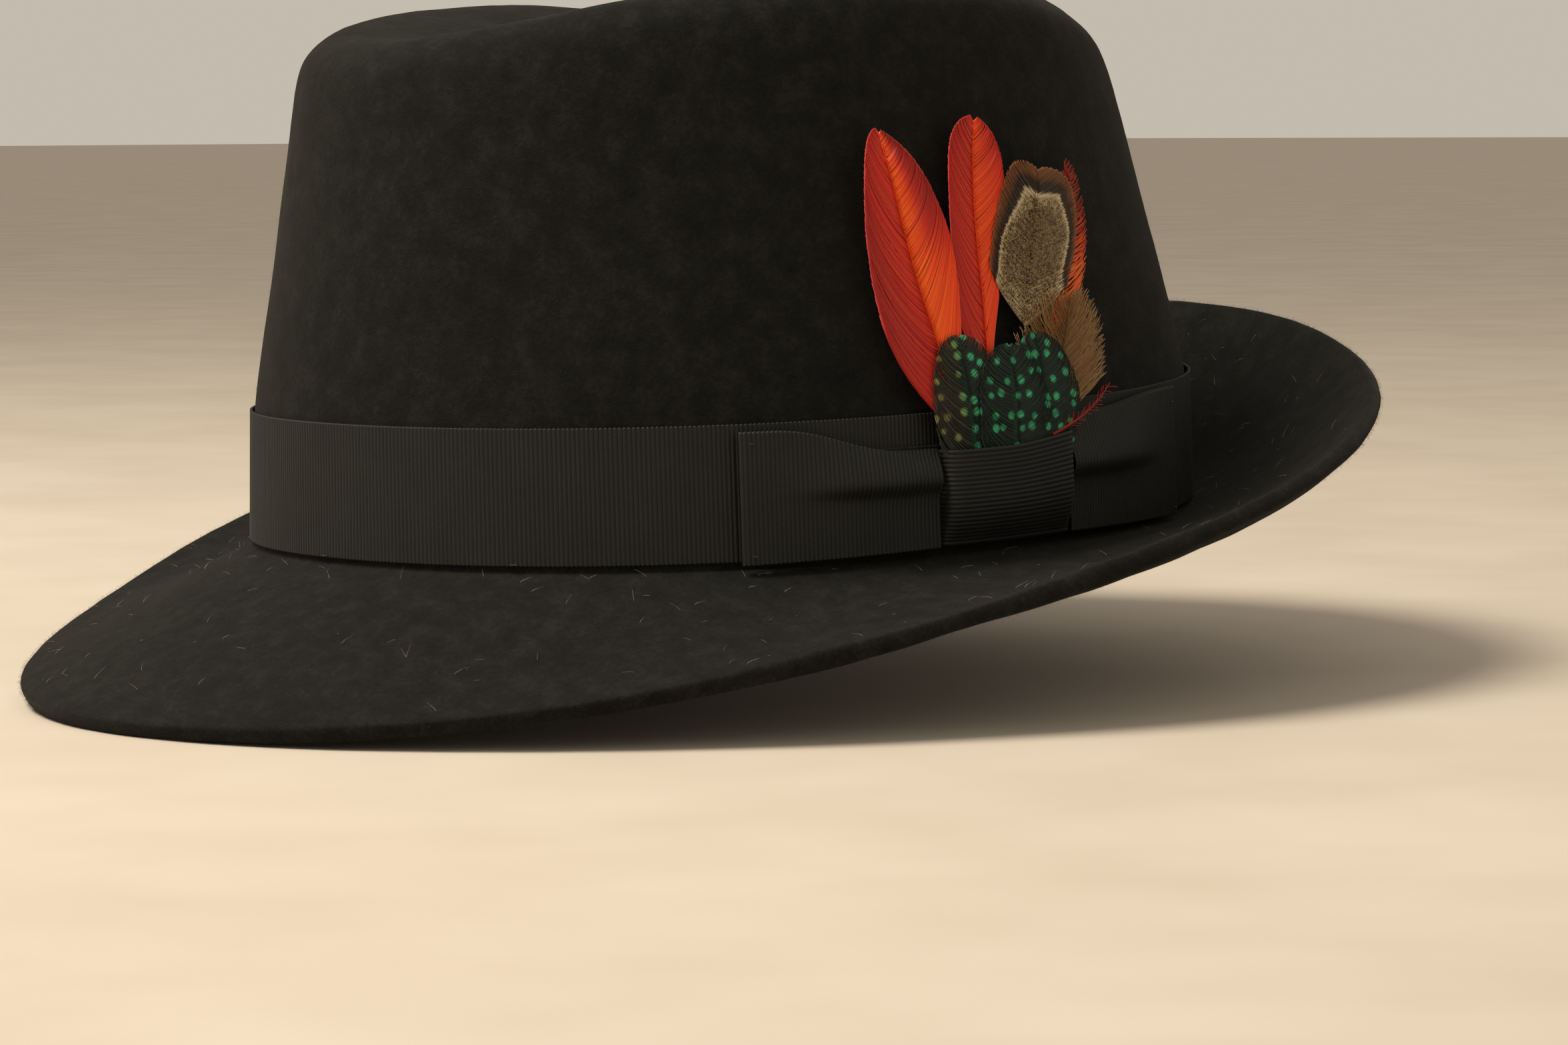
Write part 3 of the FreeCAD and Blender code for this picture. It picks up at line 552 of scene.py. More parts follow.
def hairs(places, normals, length, radius, lean, steps):
    """Closed three-sided hairs that leave the felt and lean over."""
    count = len(places)
    drift = chance.normal(0, 1, (count, 3))
    drift -= normals * (drift * normals).sum(1)[:, None]
    drift /= np.linalg.norm(drift, axis=1, keepdims=True)
    way = np.cross(normals, drift)
    reach = length * chance.uniform(0.5, 1.3, (count, 1))
    points = []
    for t in np.linspace(0, 1, steps):
        bow = lean * t * t
        middle = places + reach * ((normals * t * (1 - 0.4 * lean)) + drift * bow)
        thick = radius * (1 - 0.8 * t)
        for turn in (0.0, 2.09, 4.19):
            points.append(middle + thick * (normals * math.cos(turn) + way * math.sin(turn)))
    points = np.stack(points, 1)
    base = (np.arange(count) * steps * 3)[:, None]
    faces = [base + [2, 1, 0], base + (steps - 1) * 3 + [0, 1, 2]]
    sides = []
    for step in range(steps - 1):
        for k in range(3):
            n = (k + 1) % 3
            sides.append(base + step * 3 + [k, n, n + 3, k + 3])
    return points.reshape(-1, 3), np.concatenate(faces).tolist() + np.concatenate(sides).tolist()


def hair_material(name, dark, light):
    return cloudy_material(name, 0.7, (1.5,), [(0.35, dark), (0.65, light)], sheen=0.1, specular=0.2)


black_fur = hair_material("loose_black_fur", "#0e0e0d", "#2a2925")
pale_lint = hair_material("pale_cotton_lint", "#8d8a80", "#c9c5b8")
# How many, between which columns of the felt, then length, radius, lean and steps.
HAIRS = (("felt_nap_hairs", 9000, WALL_COLUMN, OUTSIDE_COLUMNS - 8, (0.7, 0.022, 0.9, 2), black_fur),
         ("brim_edge_hairs", 9000, OUTSIDE_COLUMNS - 7, OUTSIDE_COLUMNS + 6, (0.9, 0.02, 0.7, 3), black_fur),
         ("lint_fibres", 260, *BRIM_COLUMNS, (1.8, 0.03, 1.3, 6), pale_lint))
for name, count, low, high, shape, material in HAIRS:
    make_piece(name, *hairs(*on_felt(count, low, high), *shape), material)

# %% Check the felt against the CAD hood
cad_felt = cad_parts["felt_body"].data
felt_tree = BVHTree.FromPolygons([v.co for v in cad_felt.vertices], [p.vertices for p in cad_felt.polygons])
gaps = [felt_tree.find_nearest(Vector(p) * MM)[3] / MM for p in felt_grid[::9, ::5].reshape(-1, 3)]
print("the felt's surface lies within", round(max(gaps), 3), "mm of the CAD hood")

# %% [markdown]
# Grosgrain is a plain weave with few thick weft cords and many fine warp threads, so it
# shows a rib straight across the ribbon at every cord. The cords turn back at each edge
# and leave a row of tiny loops there. Ribs that wide are real relief, and here they are
# modelled as such, one groove for each rib. Shade is also painted into the colour of each
# groove. The fine warp between is left to the bump.

# %% Black grosgrain
RIB_PITCH = 0.9
RIB_DEPTH = 0.2
LOOP_REACH = 0.28
COARSE_RUN, COARSE_ACROSS = 200, 60


def grosgrain_material(name, dark, light):
    material, tree, shader = new_material(name, 0.58, sheen=0.05, sheen_roughness=0.4,
                                          sheen_tint="#c4c8c0", specular=0.28)
    place = place_on_piece(tree)
    wear = spots(tree, place, 9.0, 3.0, 0.6)
    thread = spots(tree, place, 0.35, 2.0)
    worn = ramp(tree, mean_of(tree, wear, thread), [(0.35, dark), (0.65, light)])
    # Painted shade: the colour is darkened strongly in each rib's groove, where the cord attribute is low, on
    # top of the real grooves in the mesh.
    groove = ramp(tree, carried(tree, "cord"), [(0.0, "#3c3c3c"), (0.6, "#ffffff")])
    tree.links.new(mixed_colours(tree, 1.0, worn, groove, "MULTIPLY"), shader.inputs["Base Color"])
    raise_surface(tree, shader, thread, 0.05)
    return material


black_grosgrain = grosgrain_material("rayon_grosgrain_woven_black", "#131412", "#1d1e1b")


def rib(distance, pitch=RIB_PITCH):
    """Height of the rib from 0 in the groove to 1 on its crest."""
    return np.abs(np.sin(math.pi * distance / pitch)) ** 0.6


def ribbon_piece(name, poles, closed, ribs_along, rows, stands_for, slot, thickness=RIBBON_THICKNESS,
                 pitch=RIB_PITCH, depth=RIB_DEPTH, reach_out=LOOP_REACH):
    """Ribbon over poles with a groove for each rib.

    ribs_along says which way the ribbon runs: True where its length follows the poles'
    first index. Four places a rib are enough to draw its groove.
    """
    coarse = surface(poles, np.linspace(0, 1, COARSE_RUN, endpoint=not closed),
                     np.linspace(0, 1, COARSE_ACROSS), closed)
    middle = coarse[:, COARSE_ACROSS // 2] if ribs_along else coarse[COARSE_RUN // 2]
    run = lengths(middle)
    total = run[-1] + (np.linalg.norm(middle[0] - middle[-1]) if closed else 0.0)
    count = max(int(round(total / pitch)), 1)
    fine = np.arange(4 * count + (0 if closed else 1)) / (4 * count)
    reach = fine * total
    known = np.append(run, total) if closed else run
    where = np.linspace(0, 1, len(known))
    places = np.interp(reach, known, where)
    edge_rows = np.array([0.0, 0.012, 0.03])
    across = np.concatenate([edge_rows, np.linspace(0.06, 0.94, rows), 1 - edge_rows[::-1]])
    grid = surface(poles, places if ribs_along else across, across if ribs_along else places, closed)
    normal = normals_of(grid, closed)
    crest = rib(reach, total / count)
    crest = crest[:, None] if ribs_along else crest[None, :]
    crest = np.broadcast_to(crest, grid.shape[:2])
    edge_axis = 1 if ribs_along else 0
    step = np.take(grid, [0], edge_axis) - np.take(grid, [2], edge_axis)
    other = np.take(grid, [-1], edge_axis) - np.take(grid, [-3], edge_axis)
    for spot, way in ((0, step), (-1, other)):
        way = way / np.linalg.norm(way, axis=-1, keepdims=True) * reach_out
        index = [slice(None), slice(None)]
        index[edge_axis] = [spot]
        grid[tuple(index)] += way * (crest[tuple(index)] - 1.0)[..., None]
    half = thickness / 2
    outer = grid + normal * (half - depth * (1 - crest))[..., None]
    inner = grid - normal * (half - depth * (1 - crest))[..., None]
    points, faces = sheet_points(outer, inner, closed)
    # The cord attribute is each point's rib height, 0 in the groove; the material paints shade into the
    # grooves from it.
    cords = np.concatenate([crest, crest[:, ::-1]], 1)
    return make_piece(name, points, faces, black_grosgrain, stands_for, slot,
                      extra={"cord": cords.ravel()})


# %% The hat band
RIBBON_GAP, SEWN_GAP, BACKING_THICKNESS, THREAD_RADIUS = 0.15, 0.25, 0.5, 0.15
band_middle = RIBBON_GAP + RIBBON_THICKNESS / 2
band_rise = np.linspace(BAND_LIFT, BAND_LIFT + RIBBON_WIDTH, 6)
band_poles = np.stack([band_point(RING, up, band_middle) for up in band_rise], 1)
hat_band = ribbon_piece("hat_band_grosgrain", band_poles, True, True, 8, ["hat_band"], "black_grosgrain")

# %% [markdown]
# The bow is three pieces of the same ribbon. A flat loop runs forward and one back, each
# folded over at its end, and a short piece is drawn over the middle as the knot. The knot
# pulls each loop into one long pleat, which catches the lamp along its top.

# %% Shapes of the bow
BOW_FRONT_ANGLE, BOW_REAR_ANGLE = 56.0, 119.0
KNOT_FRONT_ANGLE, KNOT_REAR_ANGLE, KNOT_FULLNESS = 78.9, 96.1, 5.0
LOOP_LIFT, FULL_PLEAT, PLEAT_HEIGHT = 1.1, 2.3, 14.4
BACKING_OUT = RIBBON_GAP + RIBBON_THICKNESS + 0.1 + 2 * THREAD_RADIUS
BOW_BASE = BACKING_OUT + BACKING_THICKNESS + SEWN_GAP
LAYER_MIDDLE = BOW_BASE + RIBBON_THICKNESS / 2


def pleat(up, t):
    """How far the pleat stands out; t runs from 0 at the knot to 1 at the fold."""
    strength = FULL_PLEAT * (1 - smooth((t - 0.35) / 0.5)) * (0.8 + 0.2 * smooth(t / 0.2))
    if up > PLEAT_HEIGHT:
        return strength * (1 - smooth((up - PLEAT_HEIGHT) / (RIBBON_WIDTH - PLEAT_HEIGHT)))
    return strength * (1 - smooth((PLEAT_HEIGHT - up) / 2.5))


def hollow(up, t):
    """Beside the knot the loop's upper half is drawn in, and lies in shadow."""
    return -0.9 * (1 - smooth((t - 0.04) / 0.2)) * smooth((up - PLEAT_HEIGHT - 2.0) / 2.0)


def loop_poles(fold_angle, knot_angle, foot, pinched_top, free_top):
    """Poles of a flat loop: outer layer from knot to fold, then back along the inside."""
    def heights(t):
        top = pinched_top + (free_top - pinched_top) * smooth((t - 0.2) / 0.6)
        return [foot - 0.9 * t] + [PLEAT_HEIGHT + s for s in (-8.5, -3.0, -1.5, 0.0, 2.0, 5.0)] + [top]
    rows = []
    for t in np.linspace(0.0, 0.96, 11):
        theta = knot_angle + (fold_angle - knot_angle) * t
        rows.append([band_point(theta, up, LAYER_MIDDLE + LOOP_LIFT + pleat(up, t) + hollow(up, t))
                     for up in heights(t)])
    for out in (0.9, 0.1):
        rows.append([band_point(fold_angle, up, LAYER_MIDDLE + LOOP_LIFT * out) for up in heights(1.0)])
    for t in np.linspace(0.96, 0.0, 11):
        theta = knot_angle + (fold_angle - knot_angle) * t
        rows.append([band_point(theta, up, LAYER_MIDDLE) for up in heights(t)])
    return np.array(rows)


def knot_poles():
    """Poles of the knot: a soft pouch over the middle of the bow, open at its top."""
    across = ((0.0, 0.0), (0.0, 0.45), (0.03, 0.84), (0.15, 0.95), (0.32, 0.99), (0.5, 1.0),
              (0.68, 0.99), (0.85, 0.95), (0.97, 0.84), (1.0, 0.45), (1.0, 0.0))
    rows = []
    for place, height in across:
        theta = KNOT_FRONT_ANGLE + (KNOT_REAR_ANGLE - KNOT_FRONT_ANGLE) * place
        top = RIBBON_WIDTH - 5.9 + 1.6 * smooth((place - 0.45) / 0.55)
        rows.append([band_point(theta, 1.9 + (top - 1.9) * t,
                                LAYER_MIDDLE + KNOT_FULLNESS * height * (0.25 + 0.75 * smooth(t / 0.3)))
                     for t in (0.0, 0.06, 0.16, 0.35, 0.6, 0.85, 1.0)])
    return np.array(rows)


# %% The bow
front_poles = loop_poles(BOW_FRONT_ANGLE, KNOT_FRONT_ANGLE - 0.5, 1.6, 20.9, RIBBON_WIDTH - 0.2)
front_loop = ribbon_piece("bow_front_loop_grosgrain", front_poles, False, True, 30, ["bow_front_loop"],
                          "black_grosgrain")
rear_poles = loop_poles(BOW_REAR_ANGLE, KNOT_REAR_ANGLE + 0.5, 1.8, 25.2, RIBBON_WIDTH + 0.6)
rear_loop = ribbon_piece("bow_rear_loop_grosgrain", rear_poles, False, True, 30, ["bow_rear_loop"],
                         "black_grosgrain")
knot = ribbon_piece("bow_knot_grosgrain", knot_poles(), False, False, 60, ["bow_knot"], "black_grosgrain")

# %% [markdown]
# A feather is a tapering shaft with a row of barbs on each side. On a firm vane the barbs
# hook together and read as silk with fine streaks. Where the hooks let go the vane
# splits, and near the quill there are no hooks at all, only loose down. So each feather
# here is built of its barbs: thin closed strips that start on the shaft, sweep up and out
# and end on the vane's outline. The outline is two smooth lines through a few points,
# given as millimetres round the crown and up it.

# %% Places on the feather mount
FAN_ANGLE = 88.0
VANE_THICKNESS, VANE_GAP, CARD_THICKNESS, BINDING_THICKNESS, CLEARANCE = 0.35, 0.1, 0.4, 0.3, 0.3
CARD_OUT = BOW_BASE + CLEARANCE - SEWN_GAP + BINDING_THICKNESS + VANE_GAP
degree_length = np.linalg.norm(wall(FAN_ANGLE - 0.5, RIBBON_WIDTH) - wall(FAN_ANGLE + 0.5, RIBBON_WIDTH))
BARB_STEPS, SHAFT_STEPS, FAR_FROM_EDGE = 10, 24, 9.0


def fan_point(along, up, out):
    return wall(FAN_ANGLE + along / degree_length, up, out)


def layer_out(layer):
    """Inner face of a vane; layer 0 lies next to the card."""
    return CARD_OUT + CARD_THICKNESS + VANE_GAP + layer * (VANE_THICKNESS + VANE_GAP)


def strips(paths, out, half_width, thickness):
    """Closed three-sided strips along paths [strip][step] of (along, up)."""
    count, steps = paths.shape[:2]
    ahead = np.gradient(paths, axis=1)
    ahead /= np.maximum(np.linalg.norm(ahead, axis=-1, keepdims=True), 1e-9)
    side = np.stack([ahead[..., 1], -ahead[..., 0]], -1) * half_width[..., None]
    flat = np.stack([paths - side, paths + side, paths], 2)
    lift = np.stack([out, out, out + thickness], 2)
    points = fan_point(flat[..., 0], flat[..., 1], lift).reshape(-1, 3)
    first = (np.arange(count) * steps * 3)[:, None, None]
    step = (np.arange(steps - 1) * 3)[None, :, None]
    k = np.arange(3)[None, None, :]
    here, beside = first + step + k, first + step + (k + 1) % 3
    quads = np.stack([here, beside, beside + 3, here + 3], -1).reshape(-1, 4).tolist()
    ends = np.arange(count) * steps * 3
    lows = np.stack([ends + 2, ends + 1, ends], -1).tolist()
    last = ends + (steps - 1) * 3
    highs = np.stack([last, last + 1, last + 2], -1).tolist()
    return points, quads + lows + highs


def barb_paths(shaft, outline, starts, sweep, reach=1.0, rise=1.3, spread=1.5):
    """Paths from the shaft to the outline, both given as poles that share foot and tip."""
    u = np.linspace(0.0, 1.0, BARB_STEPS)[None, :]
    starts = np.asarray(starts)[:, None]
    ends = starts + (1 - starts) * sweep * smooth((starts + 0.25) / 0.45)
    t = starts + (ends - starts) * u ** rise
    out_share = (1 - (1 - u) ** spread) * np.asarray(reach).reshape(-1, 1)
    on_shaft = line_through(shaft, t.ravel()).reshape(*t.shape, 2)
    on_edge = line_through(outline, t.ravel()).reshape(*t.shape, 2)
    return on_shaft + (on_edge - on_shaft) * out_share[..., None], t, out_share * np.ones_like(t)


def edge_distance(places, outlines):
    """Distance from each place to the nearest outline."""
    rim = np.concatenate([line_through(o, np.linspace(0.12, 1, 90)) for o in outlines])
    flat = places.reshape(-1, 2)
    gaps = [np.min(np.linalg.norm(rim - p, axis=1)) for p in flat]
    return np.array(gaps).reshape(places.shape[:-1])


def feather(name, node, slot, material, shaft, outlines, layer, counts, sweep, barb_width, curl=1.5,
            hue=None, ragged=0.03, split=None, shaft_width=0.33, rise=1.3, spread=1.5, start=0.02, wave=0.0):
    """One feather: barbs on both sides and a tapering shaft, in one mesh.

    hue gives the place in the material's colours from the side (0, 1, or 2 for the shaft),
    the place along the feather, the share of the way to its edge, and the point itself.
    """
    all_points, all_faces, extra = [], [], {"hue": [], "tone": [], "spot": []}

    def join(points, faces, hues, tones, spot):
        base = sum(len(p) for p in all_points)
        all_points.append(points)
        all_faces.extend([[i + base for i in face] for face in faces])
        extra["hue"].append(np.repeat(hues.ravel(), 3))
        extra["tone"].append(np.repeat(tones.ravel(), 3))
        extra["spot"].append(np.repeat(spot.reshape(-1, 3), 3, 0))

    for side, (outline, count) in enumerate(zip(outlines, counts)):
        starts = np.linspace(start, 0.985, count) + chance.normal(0, 0.002, count)
        reach = 1.0 - np.abs(chance.normal(0, ragged, count))
        paths, t, share = barb_paths(shaft, outline, np.clip(starts, 0, 0.99), sweep, reach, rise, spread)
        if split and split[0] == side:
            below = smooth((split[1] - starts) / 0.02)[:, None]
            paths[..., 1] -= below * split[2] * share ** 2 * smooth((starts[:, None] - split[1] + 0.3) / 0.3)
        if wave:
            phase = chance.uniform(0, 6.28, count)[:, None]
            paths[..., 0] += wave * share * np.sin(share * 7 + phase)
            paths[..., 1] += wave * share * np.cos(share * 6 + phase)
        out = layer_out(layer) + 0.05 + curl * t ** 2 + chance.uniform(0, 0.16, count)[:, None] + 0.12 * share
        taper = 0.35 + 0.65 * (1 - share ** 3)
        width = barb_width * taper * chance.uniform(0.8, 1.2, count)[:, None]
        points, faces = strips(paths, out, width, 0.09)
        tones = np.repeat(chance.uniform(0, 1, count)[:, None], BARB_STEPS, 1)
        hues = hue(side, t, share, paths) if hue else t
        gap = edge_distance(paths, outlines)
        join(points, faces, hues, tones, np.concatenate([paths, gap[..., None]], -1))
    places = np.linspace(0.0, 0.97, SHAFT_STEPS)
    spine = line_through(shaft, places)[None]
    out = layer_out(layer) + 0.16 + curl * places[None] ** 2
    points, faces = strips(spine, out, shaft_width * (1 - 0.8 * places[None]), 0.3)
    spine_hue = hue(2, places[None], places[None] * 0, spine) if hue else places[None]
    join(points, faces, spine_hue, np.full((1, SHAFT_STEPS), 0.5),
         np.concatenate([spine, np.full((1, SHAFT_STEPS, 1), FAR_FROM_EDGE)], -1))
    extra = {key: np.concatenate(values) for key, values in extra.items()}
    return make_piece(name, np.concatenate(all_points), all_faces, material, [node], slot,
                      body="feather_mount", extra=extra)


# %% [markdown]
# The two long feathers are goose, dyed red. Dye takes deeper on the outer vane than on
# the inner, so one side is crimson and the other runs to orange beside the shaft.

# %% Red goose feathers
def varied_hue(tree, reach):
    """The hue along a feather, moved a little for each barb."""
    return maths(tree, carried(tree, "hue"), spread_out(tree, carried(tree, "tone"), reach))


def red_feather_material():
    material, tree, shader = new_material("goose_feather_dyed_red", 0.5, sheen=0.25, sheen_roughness=0.3,
                                          sheen_tint="#ff9a66", specular=0.35)
    colour_by(tree, shader, varied_hue(tree, 0.09), [(0.0, "#7e0d09"), (0.25, "#ac170f"), (0.55, "#d22a0c"),
                                                     (0.85, "#f04d06"), (1.0, "#fb640c")])
    return material


red_feather = red_feather_material()


def red_front_hue(side, t, share, paths):
    """Crimson outside the shaft, orange within, with crimson on the inner vane's tip."""
    if side == 2:
        return 0.55 + 0.2 * t
    if side == 0:
        below = smooth((0.42 - t + 0.45 * share) / 0.1)
        return 0.34 - 0.12 * share + 0.12 * (1 - share) - 0.08 * below
    tip = smooth((t - 0.55) / 0.3) * smooth((share - 0.2) / 0.5)
    return 0.95 - 0.2 * share - 0.6 * tip


def red_rear_hue(side, t, share, paths):
    if side == 2:
        return 0.5 + 0.2 * t
    if side == 0:
        return 0.32 - 0.06 * share + 0.1 * (1 - share)
    return 0.85 - 0.15 * share - 0.35 * smooth((t - 0.7) / 0.25) * share


feather("red_feather_front_goose", "red_feather_front", "red_feather", red_feather,
        [(-8.4, 9), (-11.5, 20), (-13.4, 31), (-15, 42), (-17.8, 53), (-19.8, 66), (-21.2, 78),
         (-22.9, 84.6)],
        [[(-8.4, 9), (-15, 21), (-23.5, 28), (-27.2, 44), (-29, 60), (-27.4, 74), (-25.6, 84), (-22.9, 84.6)],
         [(-8.4, 9), (-9, 20), (-10.5, 32), (-9.2, 46), (-7.6, 60), (-9.6, 70), (-15, 81), (-22.9, 84.6)]],
        3, (230, 250), 0.44, 0.3, 1.6, red_front_hue, 0.02, split=(0, 0.34, 2.2), start=0.1,
        shaft_width=0.26)
feather("red_feather_rear_goose", "red_feather_rear", "red_feather", red_feather,
        [(-4.2, 9), (-4.6, 24), (-4.0, 38), (-2.2, 50), (-1.6, 60), (-0.6, 70), (1.4, 80), (3.8, 87)],
        [[(-4.2, 9), (-6.5, 25), (-9.5, 38), (-9.6, 52), (-7.6, 64), (-6.4, 74), (-3.6, 87), (3.8, 87)],
         [(-4.2, 9), (-3.4, 25), (-3.0, 38), (1.5, 50), (5.4, 62), (9.4, 72), (10.4, 84), (3.8, 87)]],
        2, (220, 220), 0.4, 0.26, 1.2, red_rear_hue, 0.015, start=0.1, shaft_width=0.24)

# %% [markdown]
# The short feather comes from a cock pheasant's flank: a cream heart with fine brown
# scribbles, a black-brown ring round it and a chestnut fringe. The bands follow the
# vane's edge, so each point carries its own distance from the edge, in millimetres.

# %% Pheasant feather
def place_on_vane(tree):
    """Millimetres round and up the crown, which the barbs carry, without their edge distance."""
    spot = add_node(tree, "Attribute", attribute_name="spot").outputs["Vector"]
    parts = add_node(tree, "SeparateXYZ", {"Vector": spot})
    return add_node(tree, "CombineXYZ", {"X": parts.outputs["X"], "Y": parts.outputs["Y"]}).outputs["Vector"]


def pheasant_material():
    material, tree, shader = new_material("pheasant_flank_feather", 0.55, sheen=0.2, sheen_roughness=0.4,
                                          sheen_tint="#ffe0b8", specular=0.3)
    banded = varied_hue(tree, 0.035)
    bands = ramp(tree, banded, [(0.0, "#7d4f2a"), (0.2, "#5d3318"), (0.3, "#1c0f09"), (0.46, "#1f130c"),
                                (0.53, "#cdbd97"), (0.62, "#b7a47d"), (0.8, "#a3906a"), (1.0, "#8a7350")])
    flat = place_on_vane(tree)
    scribble = add_node(tree, "TexNoise", {"Vector": flat, "Scale": 1.1, "Detail": 2.0, "Roughness": 0.6,
                                           "Distortion": 1.6}).outputs["Fac"]
    lines = ramp(tree, scribble, [(0.40, "#ffffff"), (0.47, "#6b4c30"), (0.52, "#5a3d26"), (0.58, "#ffffff")])
    heart = add_node(tree, "MapRange", {"Value": banded, "From Min": 0.54, "From Max": 0.66})
    drawn = mixed_colours(tree, heart.outputs["Result"], bands, lines, "MULTIPLY")
    tree.links.new(drawn, shader.inputs["Base Color"])
    return material


def pheasant_hue(side, t, share, paths):
    """Place in the bands: the fringe and ring are wider over the tip than at the sides."""
    gap = edge_distance(paths, pheasant_outlines)
    over_tip = smooth((paths[..., 1] - 62.0) / 10.0)
    depth = gap / (2.6 + 3.2 * over_tip)
    low = smooth((58.0 - paths[..., 1]) / 10.0)
    downy = np.clip(0.7 + 0.25 * chance.uniform(-1, 1, depth.shape[0])[:, None], 0, 1)
    return np.clip(depth * 0.55, 0, 1) * (1 - low) + low * downy


pheasant_shaft = [(0.6, 9), (2.0, 24), (5.5, 40), (9.0, 52), (12.5, 61), (15.6, 68), (18.0, 73), (19.0, 76.5)]
pheasant_outlines = [
    [(0.6, 9), (0.5, 24), (-2.0, 40), (-1.0, 54), (3.2, 65), (8.0, 74), (13.0, 80), (19.0, 76.5)],
    [(0.6, 9), (5.0, 24), (11.5, 38), (19.0, 50), (27.0, 60), (31.0, 70), (28.5, 77), (19.0, 76.5)]]
feather("pheasant_feather_barbed", "pheasant_feather", "pheasant_feather", pheasant_material(),
        pheasant_shaft, pheasant_outlines, 3, (230, 230), 0.24, 0.2, 1.2, pheasant_hue, 0.035,
        shaft_width=0.22, rise=1.15, spread=1.3, start=0.3, wave=0.12)


# %% [markdown]
# Beside it stands a thin cock hackle dyed red, whose barbs part into spikes, and below
# both a spray of brown down hides the quills.

# %% Red hackle and brown down
def plain_feather_material(name, stops, sheen_tint):
    material, tree, shader = new_material(name, 0.6, sheen=0.25, sheen_roughness=0.4, sheen_tint=sheen_tint,
                                          specular=0.25)
    colour_by(tree, shader, varied_hue(tree, 0.22), stops)
    return material


def hackle_hue(side, t, share, paths):
    """Orange, darker towards the feather's tip."""
    return np.clip(0.75 - 0.5 * smooth((t - 0.6) / 0.3), 0, 1)


def down_hue(side, t, share, paths):
    """Dark beside the quill and pale at the ends of the fluff."""
    return np.clip(0.35 + 0.45 * share, 0, 1)


hackle_material = plain_feather_material(
    "cock_hackle_dyed_red",
    [(0.0, "#4a1209"), (0.4, "#a52a10"), (0.8, "#e5571a"), (1.0, "#f08a44")], "#ffb08a")
down_material = plain_feather_material(
    "brown_pheasant_down",
    [(0.0, "#3d2a19"), (0.4, "#75532f"), (0.8, "#9a7649"), (1.0, "#bda070")], "#ffe6c8")
feather("red_hackle_barbed", "red_hackle", "red_hackle", hackle_material,
        [(6.5, 9), (8, 24), (12, 38), (19, 49), (25, 58), (29, 67), (30.5, 73), (31, 78.5)],
        [[(6.5, 9), (7, 24), (10, 38), (16.5, 50), (22, 60), (26, 69), (28.0, 76), (31, 78.5)],
         [(6.5, 9), (10, 24), (15, 36), (23, 46), (30, 55), (34, 65), (35, 74), (31, 78.5)]],
        0, (80, 90), 0.3, 0.16, 1.6, hackle_hue, 0.12, rise=1.1, spread=1.2, start=0.3, wave=0.25)
feather("brown_down_feather_fluffed", "brown_down_feather", "brown_down", down_material,
        [(4.6, 9), (6.5, 18), (9, 25), (12, 31), (14.5, 37), (17, 42), (19, 47), (20.5, 51)],
        [[(4.6, 9), (2, 20), (0, 29), (1, 38), (5, 46), (10, 51), (16, 54), (20.5, 51)],
         [(4.6, 9), (13, 20), (22, 26), (28, 33), (30.5, 41), (30, 48), (26, 54), (20.5, 51)]],
        1, (200, 420), 0.3, 0.075, 2.2, down_hue, 0.3, shaft_width=0.2, rise=0.9, spread=1.05, start=0.2,
        wave=0.7)

# %% [markdown]
# The rounded feathers at the foot are guinea fowl dyed green: pale dots on near black. A
# Voronoi pattern gives scattered cells a few millimetres apart, and the part of a cell
# that lies close to its middle makes the dot.

# %% Green guinea feathers
DOT_SPACING = 3.5


def guinea_material():
    material, tree, shader = new_material("guinea_fowl_feather_dyed_green", 0.5, sheen=0.15,
                                          sheen_roughness=0.4, sheen_tint="#a8ffcf", specular=0.35)
    flat = place_on_vane(tree)
    cells = add_node(tree, "TexVoronoi", {"Vector": flat, "Scale": 1 / DOT_SPACING, "Randomness": 0.62},
                     voronoi_dimensions="2D").outputs["Distance"]
    size = add_node(tree, "TexNoise", {"Vector": flat, "Scale": 0.22, "Detail": 0.0}).outputs["Fac"]
    swell = add_node(tree, "MapRange", {"Value": size, "From Min": 0.3, "From Max": 0.7, "To Min": 0.06,
                                        "To Max": -0.05}).outputs["Result"]
    wide = maths(tree, cells, swell)
    dot = ramp(tree, wide, [(0.0, "#4fd79c"), (0.19, "#3fb37e"), (0.24, "#1c5c40"), (0.28, "#0d1d15"),
                            (0.6, "#0a1510"), (1.0, "#122219")])
    olive = ramp(tree, wide, [(0.0, "#b9a24a"), (0.19, "#9a8a3c"), (0.25, "#5a3c18"), (0.29, "#3a1a0e"),
                              (0.6, "#2a140c"), (1.0, "#3c1c10")])
    mixed = mixed_colours(tree, carried(tree, "hue"), dot, olive)
    light = ramp(tree, carried(tree, "tone"), [(0.0, "#9a9a9a"), (1.0, "#ffffff")])
    tree.links.new(mixed_colours(tree, 1.0, mixed, light, "MULTIPLY"), shader.inputs["Base Color"])
    return material


def guinea_hue(side, t, share, paths):
    """The front feather lies over the red one, which shows through its outer barbs."""
    return smooth((-9.0 - paths[..., 0]) / 6.0) * 0.85


